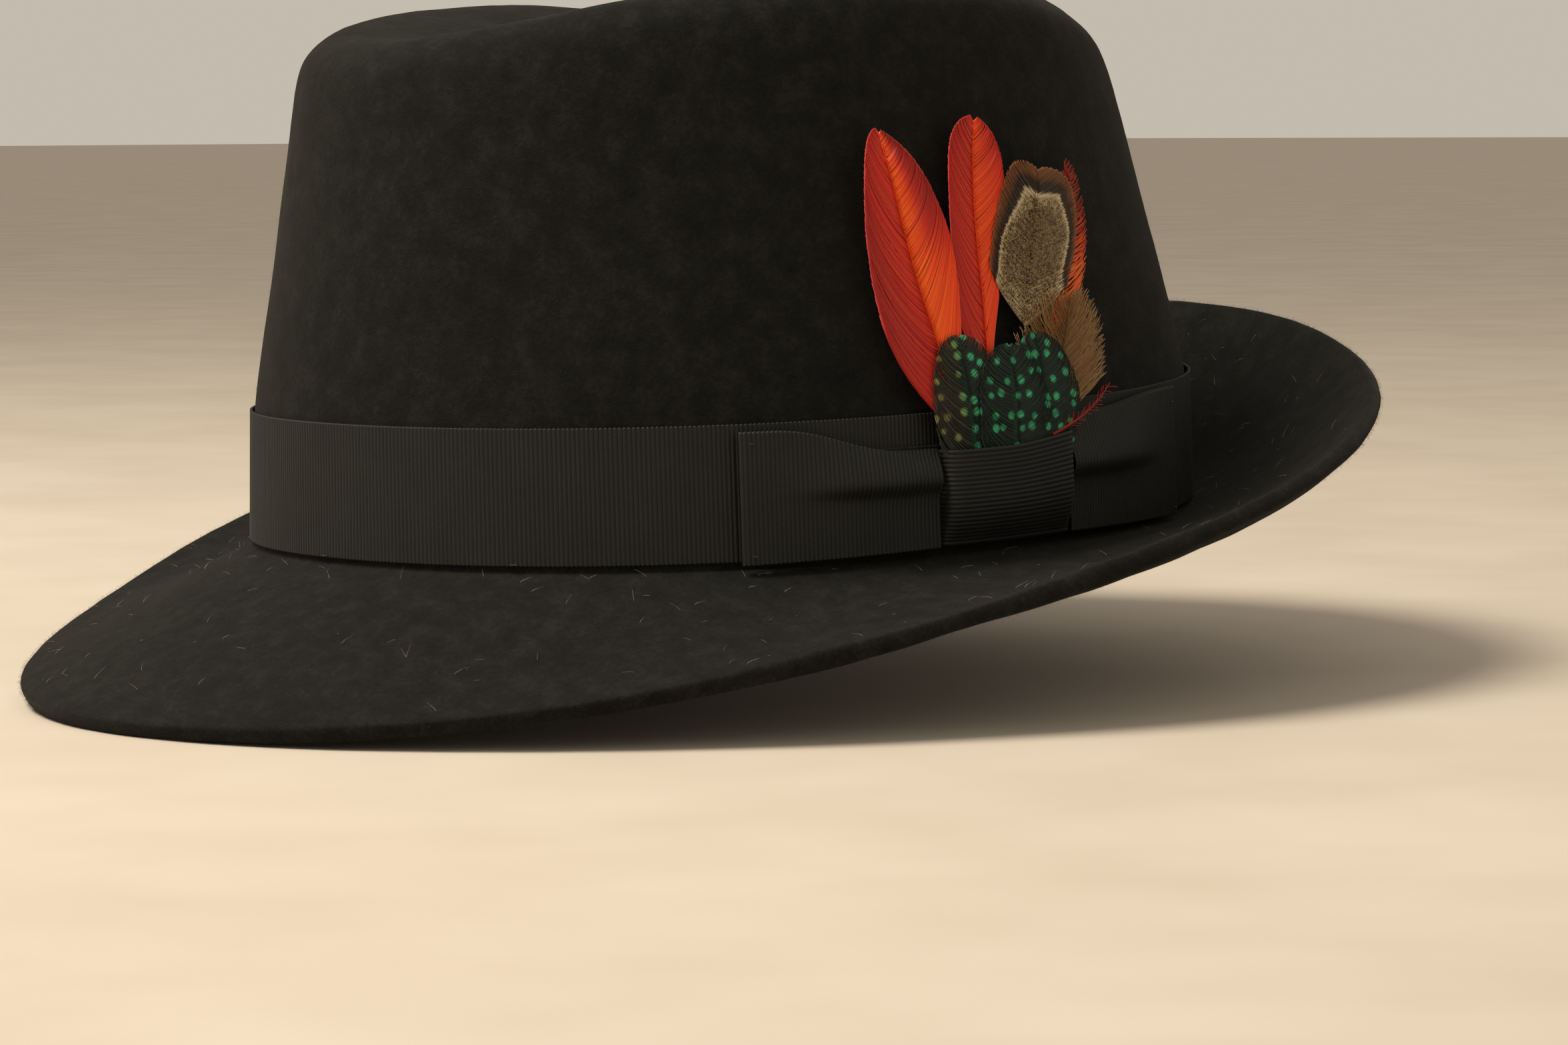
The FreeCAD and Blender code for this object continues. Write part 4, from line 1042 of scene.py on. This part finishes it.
green_guinea = guinea_material()
GUINEA_SHAPES = (
    ("front", 4,
     [(-6.3, 9), (-7, 13), (-8.2, 18), (-9.6, 24), (-10.4, 31), (-10.8, 37), (-11, 41), (-11, 44.5)],
     [(-6.3, 9), (-10, 13), (-16, 18), (-19, 25), (-19, 33), (-17.5, 40), (-14.5, 44.5), (-11, 44.5)],
     [(-6.3, 9), (-4.5, 13), (-2.5, 18), (-1.5, 25), (-2.0, 33), (-3.5, 40), (-6.5, 44.5), (-11, 44.5)]),
    ("middle", 5,
     [(-1.5, 9), (-1, 13), (-0.4, 18), (0, 24), (0.3, 30), (0.4, 35), (0.5, 39), (0.5, 42.5)],
     [(-1.5, 9), (-4, 13), (-8, 17), (-9, 24), (-9, 31), (-7.5, 37.5), (-4, 42.5), (0.5, 42.5)],
     [(-1.5, 9), (2, 13), (6.5, 17), (9, 24), (9.5, 31), (8, 37.5), (5, 42.5), (0.5, 42.5)]),
    ("rear", 4,
     [(2.7, 9), (3.4, 14), (4.8, 20), (6.2, 26), (7.4, 32), (8.2, 37.5), (8.5, 41), (8.5, 44.5)],
     [(2.7, 9), (1.5, 14), (-1, 20), (-1, 27), (0.5, 34), (2.5, 40.5), (5, 44.5), (8.5, 44.5)],
     [(2.7, 9), (8, 13), (14, 19), (17.5, 26), (18.5, 33), (16.5, 40), (13, 44.5), (8.5, 44.5)]))
for place, layer, shaft, left, right in GUINEA_SHAPES:
    feather(f"guinea_feather_{place}_spotted", f"guinea_feather_{place}", "guinea_feather", green_guinea,
            shaft, [left, right], layer, (120, 120), 0.4, 0.17, 0.8, guinea_hue, 0.05, start=0.05,
            shaft_width=0.2)

# %% [markdown]
# Turn the hat over and the rest of the trade shows: a calf sweatband sewn in by a reed
# and its tape, a satin lining gathered up to a satin tip, a clear sheet over the tip,
# and thread wherever one piece is held to another.

# %% Leather, satin, thread and the small hidden materials
def leather_material():
    """Calf, vegetable tanned and glazed: fine grain, pores, darker where it was handled."""
    material, tree, shader = new_material("calf_sweatband_leather_glazed", 0.42, sheen=0.03, specular=0.4)
    place = place_on_piece(tree)
    grain = add_node(tree, "TexVoronoi", {"Vector": place, "Scale": 1 / (0.9 * MM)}).outputs["Distance"]
    cloudy = spots(tree, place, 18.0, 4.0, 0.6)
    fine = spots(tree, place, 1.2, 3.0, 0.6)
    colour_by(tree, shader, mean_of(tree, cloudy, fine),
              [(0.36, "#3f2413"), (0.5, "#5b3519"), (0.64, "#75471f")])
    raise_surface(tree, shader, maths(tree, grain, fine), 0.08)
    return material


def satin_material(name, dark, light):
    """Satin: long floats of thread give a soft streak along the weave, and a larger cloud paints the light
    and shade of folds into the colour.
    """
    material, tree, shader = new_material(name, 0.32, sheen=0.2, sheen_roughness=0.3, specular=0.55)
    place = place_on_piece(tree)
    parts = add_node(tree, "SeparateXYZ", {"Vector": place})
    long_way = maths(tree, parts.outputs["Z"], 0.08, "MULTIPLY")
    stretched = add_node(tree, "CombineXYZ", {"X": parts.outputs["X"], "Y": parts.outputs["Y"],
                                              "Z": long_way}).outputs["Vector"]
    floats = spots(tree, stretched, 0.3, 2.0)
    # Painted light and shade: this cloud, about 9 mm across, lightens and darkens the colour as folds in the
    # satin would.
    folds = spots(tree, place, 9.0, 2.0)
    colour_by(tree, shader, mean_of(tree, floats, folds), [(0.35, dark), (0.65, light)])
    raise_surface(tree, shader, floats, 0.04)
    return material


def thread_material(name, dark, light):
    """Spun thread: two plies with a little fluff, so the colour runs in short streaks."""
    return cloudy_material(name, 0.6, (0.25, 2.0, 0.6, 0.8), [(0.35, dark), (0.65, light)], 0.04, sheen=0.15,
                           specular=0.3)


def buckram_material():
    """Open cotton weave stiffened with size: dark squares between pale-edged threads."""
    material, tree, shader = new_material("sized_cotton_buckram_black", 0.75, specular=0.25)
    place = place_on_piece(tree)
    weave = add_node(tree, "TexVoronoi", {"Vector": place, "Scale": 1 / (0.8 * MM), "Randomness": 0.15})
    colour_by(tree, shader, weave.outputs["Distance"], [(0.1, "#26241f"), (0.6, "#0e0d0c")])
    raise_surface(tree, shader, weave.outputs["Distance"], 0.1)
    return material


glazed_leather = leather_material()
lining_satin = satin_material("lining_satin_bronze", "#5d4a2c", "#8a7145")
# Grey pulp card: short fibres pressed flat.
pulp_card = cloudy_material("pressed_pulp_card", 0.85, (0.7, 4.0, 0.7, 1.5),
                            [(0.35, "#7d7566"), (0.65, "#a79d8a")], 0.05, specular=0.2)
# Clear vinyl with the faint haze and scuffs that it picks up on a head.
clear_vinyl = cloudy_material("clear_vinyl_sheet", 0.12, (14.0, 5.0, 0.7),
                              [(0.3, "#f4f2ea"), (0.7, "#dcd9ce")], 0.05, specular=0.5, ior=1.53)
clear_vinyl.node_tree.nodes["Principled BSDF"].inputs["Transmission Weight"].default_value = 0.95
# Drawn plastic cord, slightly cloudy.
nylon_reed = cloudy_material("drawn_nylon_reed", 0.35, (3.0, 3.0), [(0.3, "#cfc8b4"), (0.7, "#e2dcca")], 0.03,
                             specular=0.45)
piping_satin = satin_material("piping_satin_black", "#151412", "#2b2924")
black_thread = thread_material("black_cotton_thread", "#0e0e0d", "#2a2a27")
tan_thread = thread_material("waxed_tan_thread", "#9b7a4c", "#c7a575")
bound_thread = thread_material("binding_thread_brown", "#3c2715", "#6a4a2a")
woven_tape = thread_material("woven_cotton_tape_black", "#141412", "#33312c")


# %% Sweatband, lining and piping
SWEATBAND_THICKNESS, FIT_GAP, SWEATBAND_FLARE, SWEATBAND_HEIGHT = 1.1, 0.2, 1.2, 36.0
REED_RADIUS, REED_TAPE_THICKNESS = 0.8, 0.35
LINING_THICKNESS, LINING_GAP, LINING_TUCK, PIPING_RADIUS = 0.3, 0.7, 6.0, 0.7
LEATHER_ROWS, LEATHER_COLUMNS, LINING_COLUMNS, GATHERS = 480, 40, 36, 96
FINE_RING = np.arange(720) / 720.0


def sweatband_out(t):
    return -(CROWN_FELT + FIT_GAP + SWEATBAND_THICKNESS / 2 + SWEATBAND_FLARE * t)


def cloth_sheet(name, grid, thickness, material, stands_for, slot, closed=True, relief=None):
    """A sheet about a grid of middle points, which relief moves along their normals."""
    normal = normals_of(grid, closed)
    if relief is not None:
        grid = grid + normal * relief[..., None]
    outer, inner = grid + normal * thickness / 2, grid - normal * thickness / 2
    points, faces = sheet_points(outer, inner, closed)
    return make_piece(name, points, faces, material, stands_for, slot)


leather_rise = np.linspace(0.0, 1.0, 8)
leather_poles = np.stack([band_point(RING, -1.0 + (SWEATBAND_HEIGHT + 1.0) * t, sweatband_out(t))
                          for t in leather_rise], 1)
leather_grid = surface(leather_poles, np.arange(LEATHER_ROWS) / LEATHER_ROWS,
                       np.linspace(0, 1, LEATHER_COLUMNS), True)
creases = wander(leather_grid, 14.0, 0.05) + wander(leather_grid, 3.0, 0.03)
leather = cloth_sheet("sweatband_leather", leather_grid, SWEATBAND_THICKNESS, glazed_leather, ["sweatband"],
                      "brown_leather", relief=creases)


def piping_height(theta):
    return ridge_height(theta) - CORNER_RADIUS - 2 * PIPING_RADIUS


side_middle = -(CROWN_FELT + LINING_GAP + LINING_THICKNESS / 2)
side_low = break_height(RING) + SWEATBAND_HEIGHT - LINING_TUCK
side_high = piping_height(RING) - PIPING_RADIUS - 0.3
side_poles = np.stack([wall(RING, side_low + (side_high - side_low) * k, side_middle)
                       for k in np.linspace(0, 1, 6)], 1)
rise = np.linspace(0, 1, LINING_COLUMNS)
side_grid = surface(side_poles, FINE_RING, rise, True)
gathers = np.cos(FINE_RING * 2 * math.pi * GATHERS + 2.0 * np.sin(FINE_RING * 2 * math.pi * 7))
folds = 0.14 * gathers[:, None] * (0.25 + 0.75 * smooth((rise - 0.2) / 0.8))[None]
side_lining = cloth_sheet("lining_side_satin", side_grid, LINING_THICKNESS * 0.8, lining_satin,
                          ["lining_side"], "lining_satin", relief=folds)


def top_grid(depth, reaches, turns, across):
    """Middle of a layer that hangs under the crown's top."""
    rings = [crown_top(RING, t) for t in reaches] + [crown_corner(RING, turn) for turn in turns]
    poles = np.stack(rings, 1)
    inward = normals_of(poles, True)
    inward[:, 0] = (0, 0, -1)
    return surface(poles + inward * depth, np.arange(240) / 240.0, np.linspace(0, 1, across), True)


def top_piece(name, grid, thickness, material, stands_for, slot, ripple):
    """A layer under the crown's top, closed over its middle."""
    normal = normals_of(grid, True)
    moved = grid + normal * (wander(grid, 9.0, ripple))[..., None]
    outer, inner = moved - normal * thickness / 2, moved + normal * thickness / 2
    skin = np.concatenate([outer, inner[:, ::-1]], 1)
    points = skin.reshape(-1, 3).tolist()
    faces = grid_faces(len(skin), skin.shape[1], True)
    closed_cap(skin, 0, (0.5,), faces, points, True)
    closed_cap(skin, skin.shape[1] - 1, (0.5,), faces, points, False)
    return make_piece(name, points, faces, material, stands_for, slot)


tip_depth = CROWN_FELT + LINING_GAP + LINING_THICKNESS / 2
tip_grid = top_grid(tip_depth, TOP_REACHES, (90.0, 60.0, 30.0, 8.0), 60)
tip = top_piece("lining_tip_satin", tip_grid, LINING_THICKNESS * 0.8, lining_satin, ["lining_tip"],
                "lining_satin", 0.05)


def round_skin(path, ahead, radius, turn):
    """Points round a path; radius is given for each place and each angle in turn."""
    ahead = ahead / np.linalg.norm(ahead, axis=-1, keepdims=True)
    side = np.cross(ahead, (0.0, 0.0, 1.0))
    side /= np.maximum(np.linalg.norm(side, axis=-1, keepdims=True), 1e-6)
    up = np.cross(side, ahead)
    return (path[..., None, :] + side[..., None, :] * (radius * np.cos(turn))[..., None]
            + up[..., None, :] * (radius * np.sin(turn))[..., None])


def round_cord(name, path, radius, material, stands_for, slot, twist, depth, sides=10):
    """Cord along a closed path, with a groove that winds round it."""
    count, turn = len(path), np.arange(sides) * 2 * math.pi / sides
    run = np.arange(count) / count * 2 * math.pi
    groove = radius - depth * (0.5 + 0.5 * np.cos(run[:, None] * twist + turn[None]))
    skin = round_skin(path, np.roll(path, -1, 0) - np.roll(path, 1, 0), groove, turn)
    i, j = np.meshgrid(np.arange(count), np.arange(sides), indexing="ij")
    after, beside = (i + 1) % count, (j + 1) % sides
    faces = np.stack([i * sides + j, after * sides + j, after * sides + beside, i * sides + beside], -1)
    return make_piece(name, skin, faces.reshape(-1, 4).tolist(), material, stands_for, slot)


def ring_path(poles, count):
    return round_weights(len(poles), np.arange(count) / count) @ poles


piping_poles = wall(RING, piping_height(RING), -(CROWN_FELT + LINING_GAP + PIPING_RADIUS + 0.1))
round_cord("lining_seam_piping_satin", ring_path(piping_poles, 1200), PIPING_RADIUS, piping_satin,
           ["lining_seam_piping"], "piping_satin", 240.0, 0.08)
sleeve = REED_RADIUS + REED_TAPE_THICKNESS + 0.05
reed_poles = band_point(RING, -1.3 - sleeve, sweatband_out(0.0))
round_cord("reed_tape_woven", ring_path(reed_poles, 1200), REED_RADIUS + REED_TAPE_THICKNESS, woven_tape,
           ["reed_tape"], "woven_tape", 380.0, 0.1)


# %% Stitches and the wound thread
def tube_faces(count, steps, sides):
    """Faces of count closed tubes, each of steps rings with so many sides."""
    base = (np.arange(count) * steps * sides)[:, None, None]
    i = (np.arange(steps - 1) * sides)[None, :, None]
    j = np.arange(sides)[None, None, :]
    beside = (j + 1) % sides
    quads = np.stack([base + i + j, base + i + beside, base + i + sides + beside, base + i + sides + j], -1)
    faces = quads.reshape(-1, 4).tolist()
    for start in range(0, count * steps * sides, steps * sides):
        faces.append([start + k for k in range(sides)][::-1])
        faces.append([start + (steps - 1) * sides + k for k in range(sides)])
    return faces


def open_cords(paths, radius, turns=4.0, sides=8):
    """Two-ply thread along open paths [thread][step], with rounded ends."""
    count, steps = paths.shape[:2]
    turn = np.arange(sides) * 2 * math.pi / sides
    run = np.linspace(0, 1, steps)[:, None]
    ply = 0.88 + 0.12 * np.abs(np.cos(turn[None] - 2 * math.pi * turns * run))
    ends = np.sqrt(np.clip(1 - (2 * run - 1) ** 8, 0.02, 1))
    skin = round_skin(paths, np.gradient(paths, axis=1), radius * ply * ends, turn)
    return skin.reshape(-1, 3), tube_faces(count, steps, sides)


def stitches(name, ends, radius, material, stands_for, slot):
    """Short stitches between pairs of points."""
    starts, stops = np.array([e[0] for e in ends]), np.array([e[1] for e in ends])
    t = np.linspace(0, 1, 13)[None, :, None]
    paths = starts[:, None] * (1 - t) + stops[:, None] * t
    return make_piece(name, *open_cords(paths, radius), material, stands_for, slot)


face_out = RIBBON_GAP + RIBBON_THICKNESS + THREAD_RADIUS
tack_out = BOW_BASE + LOOP_LIFT + RIBBON_THICKNESS + THREAD_RADIUS
TACK_ANGLES = (0, 30, 140, 165, 195, 220, 250, 275, 300, 330)
join_rise = np.linspace(5.0, RIBBON_WIDTH - 4.0, 7)
# Angle, half angle, foot and rise of each stitch, and how far out it lies.
RIBBON_STITCHES = (
    ("band_join_stitches", [(FAN_ANGLE, 0.6, up, 0.8) for up in join_rise], face_out),
    ("band_tack_stitches", [(angle, 0.5, 1.6, 0.0) for angle in TACK_ANGLES], face_out),
    ("bow_tack_stitches", [(angle, 0.3, up, 0.0) for angle in (BOW_FRONT_ANGLE + 1.2, BOW_REAR_ANGLE - 1.2)
                           for up in (2.5, RIBBON_WIDTH - 2.5)], tack_out))
for node, places, out in RIBBON_STITCHES:
    stitches(f"{node}_thread", [(band_point(angle - half, up, out), band_point(angle + half, up + rise, out))
                                for angle, half, up, rise in places],
             THREAD_RADIUS, black_thread, [node], "black_thread")
SEAM_STITCHES, SEAM_STITCH_LENGTH, SEAM_THREAD_RADIUS, SEAM_RISE = 120, 2.2, 0.25, 1.5
seam_out = sweatband_out(0.07) - SWEATBAND_THICKNESS / 2 - 0.25 - 0.1
half_stitch = 180.0 * SEAM_STITCH_LENGTH / (2 * math.pi * 91.75)
seam_angles = [3.0 * (i + 0.5) for i in range(SEAM_STITCHES)]
stitches("sweatband_stitches_thread",
         [(band_point(angle - half_stitch, SEAM_RISE, seam_out),
           band_point(angle + half_stitch, SEAM_RISE, seam_out)) for angle in seam_angles],
         SEAM_THREAD_RADIUS, tan_thread, ["sweatband_stitches"], "tan_thread")

wound = np.linspace(0, 1, 520)
around = wound * 2 * math.pi * 10
corner = (np.abs(np.cos(around)) ** 8 + np.abs(np.sin(around)) ** 8) ** (-1 / 8)
binding_room = VANE_GAP + BINDING_THICKNESS / 2
near, far = CARD_OUT - binding_room, layer_out(6) + binding_room
binding_path = fan_point((8.4 + 8 * binding_room) * corner * np.cos(around), 11.15 + 2.7 * wound,
                         (near + far) / 2 + (far - near) / 2 * corner * np.sin(around))
make_piece("quill_binding_wound_thread", *open_cords(binding_path[None], BINDING_THICKNESS / 2, 160.0),
           bound_thread, ["quill_binding"], "binding_thread", body="feather_mount")

# %% Backing strip, small rear bow and loose quill
strip_angles = np.linspace(BOW_FRONT_ANGLE + 4, BOW_REAR_ANGLE - 4, 16)
strip_poles = np.stack([band_point(strip_angles, up, BACKING_OUT + BACKING_THICKNESS / 2)
                        for up in np.linspace(4.0, RIBBON_WIDTH - 5.0, 4)], 1)
strip_grid = surface(strip_poles, np.linspace(0, 1, 200), np.linspace(0, 1, 40), False)
woven = 0.05 * np.cos(np.arange(200) * 2.1)[:, None] * np.cos(np.arange(40) * 2.4)[None]
backing = cloth_sheet("bow_backing_strip_buckram", strip_grid, BACKING_THICKNESS * 0.8, buckram_material(),
                      ["bow_backing_strip"], "black_buckram", closed=False, relief=woven)

SMALL_BOW_THICKNESS, SMALL_BOW_WAIST, SMALL_BOW_SPREAD = 0.7, 1.1, 2.2
SMALL_BOW_HALF_ANGLE, SMALL_BOW_HEIGHT = 5.0, 12.0
small_bow_out = sweatband_out(0.35) - (SWEATBAND_THICKNESS + SMALL_BOW_THICKNESS) / 2 - FIT_GAP
small_bow_poles = []
for t in np.linspace(-1.0, 1.0, 13):
    half = SMALL_BOW_WAIST + SMALL_BOW_SPREAD * math.sin(min(abs(t) * 2.2, 1.9))
    small_bow_poles.append([band_point(180.0 + SMALL_BOW_HALF_ANGLE * t, SMALL_BOW_HEIGHT + half * side,
                                       small_bow_out) for side in np.linspace(-1, 1, 5)])
ribbon_piece("sweatband_rear_bow_ribbon", np.array(small_bow_poles), False, True, 10, ["sweatband_rear_bow"],
             "narrow_ribbon", thickness=SMALL_BOW_THICKNESS, pitch=0.4, depth=0.06, reach_out=0.08)

QUILL_RADIUS, QUILL_STEPS, QUILL_SIDES, WHISKERS = 0.34, 40, 8, 26
quill_places = np.linspace(0, 1, QUILL_STEPS)
quill_line = line_through([(8.9, 24.2), (13, 25.6), (18, 27.6), (22.5, 30.4), (26.8, 33.6)], quill_places)
quill_out = layer_out(5) + 0.35 + 2 * VANE_GAP
quill_path = fan_point(quill_line[:, 0], quill_line[:, 1], quill_out)
taper = QUILL_RADIUS * (1 - 0.75 * quill_places)[:, None]
quill_turn = np.arange(QUILL_SIDES) * 2 * math.pi / QUILL_SIDES
quill_skin = round_skin(quill_path, np.gradient(quill_path, axis=0), taper, quill_turn)
quill_points = QUILL_STEPS * QUILL_SIDES
make_piece("loose_quill_dyed_red", quill_skin, tube_faces(1, QUILL_STEPS, QUILL_SIDES), red_feather,
           ["loose_quill"], "red_quill", body="feather_mount",
           extra={"hue": np.full(quill_points, 0.05), "tone": np.full(quill_points, 0.4)})
whisker_starts = np.interp(np.linspace(0.15, 0.97, WHISKERS), quill_places,
                           np.arange(QUILL_STEPS)).astype(int)
whisker_paths = []
for k, start in enumerate(whisker_starts):
    reach = chance.uniform(1.2, 3.2)
    lean = (-1) ** k * 0.5
    u = np.linspace(0, 1, 6)[:, None]
    ahead, aside = reach * np.array([0.9, 0.45]), lean * reach * np.array([-0.5, 0.9])
    whisker_paths.append(quill_line[start] + u * ahead + u ** 1.5 * aside)
whisker_paths = np.array(whisker_paths)
whiskers = strips(whisker_paths, np.full(whisker_paths.shape[:2], quill_out - 0.1),
                  0.06 * np.ones(whisker_paths.shape[:2]), 0.06)
make_piece("loose_quill_whiskers", *whiskers, red_feather, body="feather_mount",
           extra={"hue": np.full(len(whiskers[0]), 0.2), "tone": np.full(len(whiskers[0]), 0.5)})

# %% Finishes for the hard pieces that keep their CAD shape
for node, finish in (("sweatband_reed", nylon_reed), ("lining_tip_shield", clear_vinyl),
                     ("feather_backing_card", pulp_card)):
    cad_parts[node].data.materials.clear()
    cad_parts[node].data.materials.append(finish)
print("the reed, the clear sheet and the card keep their CAD shape")

# %% [markdown]
# The picture of a hat is mostly the light that grazes it. A big soft lamp hangs above and
# to the left, as over a shop table, and the pale floor throws a little light back up.

# %% Floor, lamps, world and camera
CAMERA_AZIMUTH, CAMERA_ELEVATION, CAMERA_ROLL = 47.889, 4.857, -0.284
CAMERA_DISTANCE, CAMERA_LENS = 0.9804, 106.81
AIM_RIGHT, AIM_UP = 0.012194, 0.001705
FLOOR_REACH = 30.0


def plain_floor():
    """Pale painted board, matt and slightly uneven in colour."""
    corners = [(-1, -1), (1, -1), (1, 1), (-1, 1)]
    mesh = bpy.data.meshes.new("floor")
    mesh.from_pydata([(x * FLOOR_REACH, y * FLOOR_REACH, cad_low.z) for x, y in corners], [], [(0, 1, 2, 3)])
    mesh.materials.append(cloudy_material("pale_matt_painted_board", 0.85, (60.0, 2.0),
                                          [(0.3, "#bdb2a3"), (0.7, "#c5bbad")], specular=0.2))
    floor = bpy.data.objects.new("floor", mesh)
    bpy.context.scene.collection.objects.link(floor)


def soft_lamp(name, place, aim, size, watts, colour):
    lamp = bpy.data.lights.new(name, "AREA")
    lamp.shape, lamp.size, lamp.energy = "DISK", size, watts
    lamp.color = linear(colour)[:3]
    holder = bpy.data.objects.new(name, lamp)
    holder.location = place
    holder.rotation_mode = "QUATERNION"
    holder.rotation_quaternion = (Vector(aim) - Vector(place)).to_track_quat("-Z", "Y")
    bpy.context.scene.collection.objects.link(holder)


def hat_camera():
    """Camera level with the brim, in front of the wearer's left."""
    azimuth, tilt, roll = (math.radians(a) for a in (CAMERA_AZIMUTH, CAMERA_ELEVATION, CAMERA_ROLL))
    back = Vector((math.sin(azimuth) * math.cos(tilt), -math.cos(azimuth) * math.cos(tilt), math.sin(tilt)))
    right = Vector((math.cos(azimuth), math.sin(azimuth), 0.0))
    up = back.cross(right)
    turned_right = right * math.cos(roll) + up * math.sin(roll)
    turned_up = up * math.cos(roll) - right * math.sin(roll)
    data = bpy.data.cameras.new("camera")
    data.lens, data.sensor_width = CAMERA_LENS, 36.0
    data.clip_start, data.clip_end = 0.05, 100.0
    camera = bpy.data.objects.new("camera", data)
    place = right * AIM_RIGHT + Vector((0, 0, AIM_UP)) + back * CAMERA_DISTANCE
    facing = Matrix((turned_right, turned_up, back)).transposed().to_4x4()
    camera.matrix_world = Matrix.Translation(place) @ facing
    bpy.context.scene.collection.objects.link(camera)
    bpy.context.scene.camera = camera
    return right, back


plain_floor()
view_right, view_back = hat_camera()
ABOVE = Vector((0, 0, 1))
aim = (0, 0, 0.05)
soft_lamp("key_lamp", view_right * -0.75 + view_back * 0.25 + ABOVE * 1.25, aim, 0.8, 30.0, "#fff4e4")
soft_lamp("fill_lamp", view_right * 1.0 + view_back * 1.1 + ABOVE * 0.6, aim, 1.4, 1.5, "#fff0dc")
world = bpy.data.worlds.new("pale_room")
world.use_nodes = True
background = world.node_tree.nodes["Background"]
background.inputs["Color"].default_value = linear("#e6dccd")
background.inputs["Strength"].default_value = 0.7
bpy.context.scene.world = world
bpy.context.scene.view_settings.view_transform = "Standard"
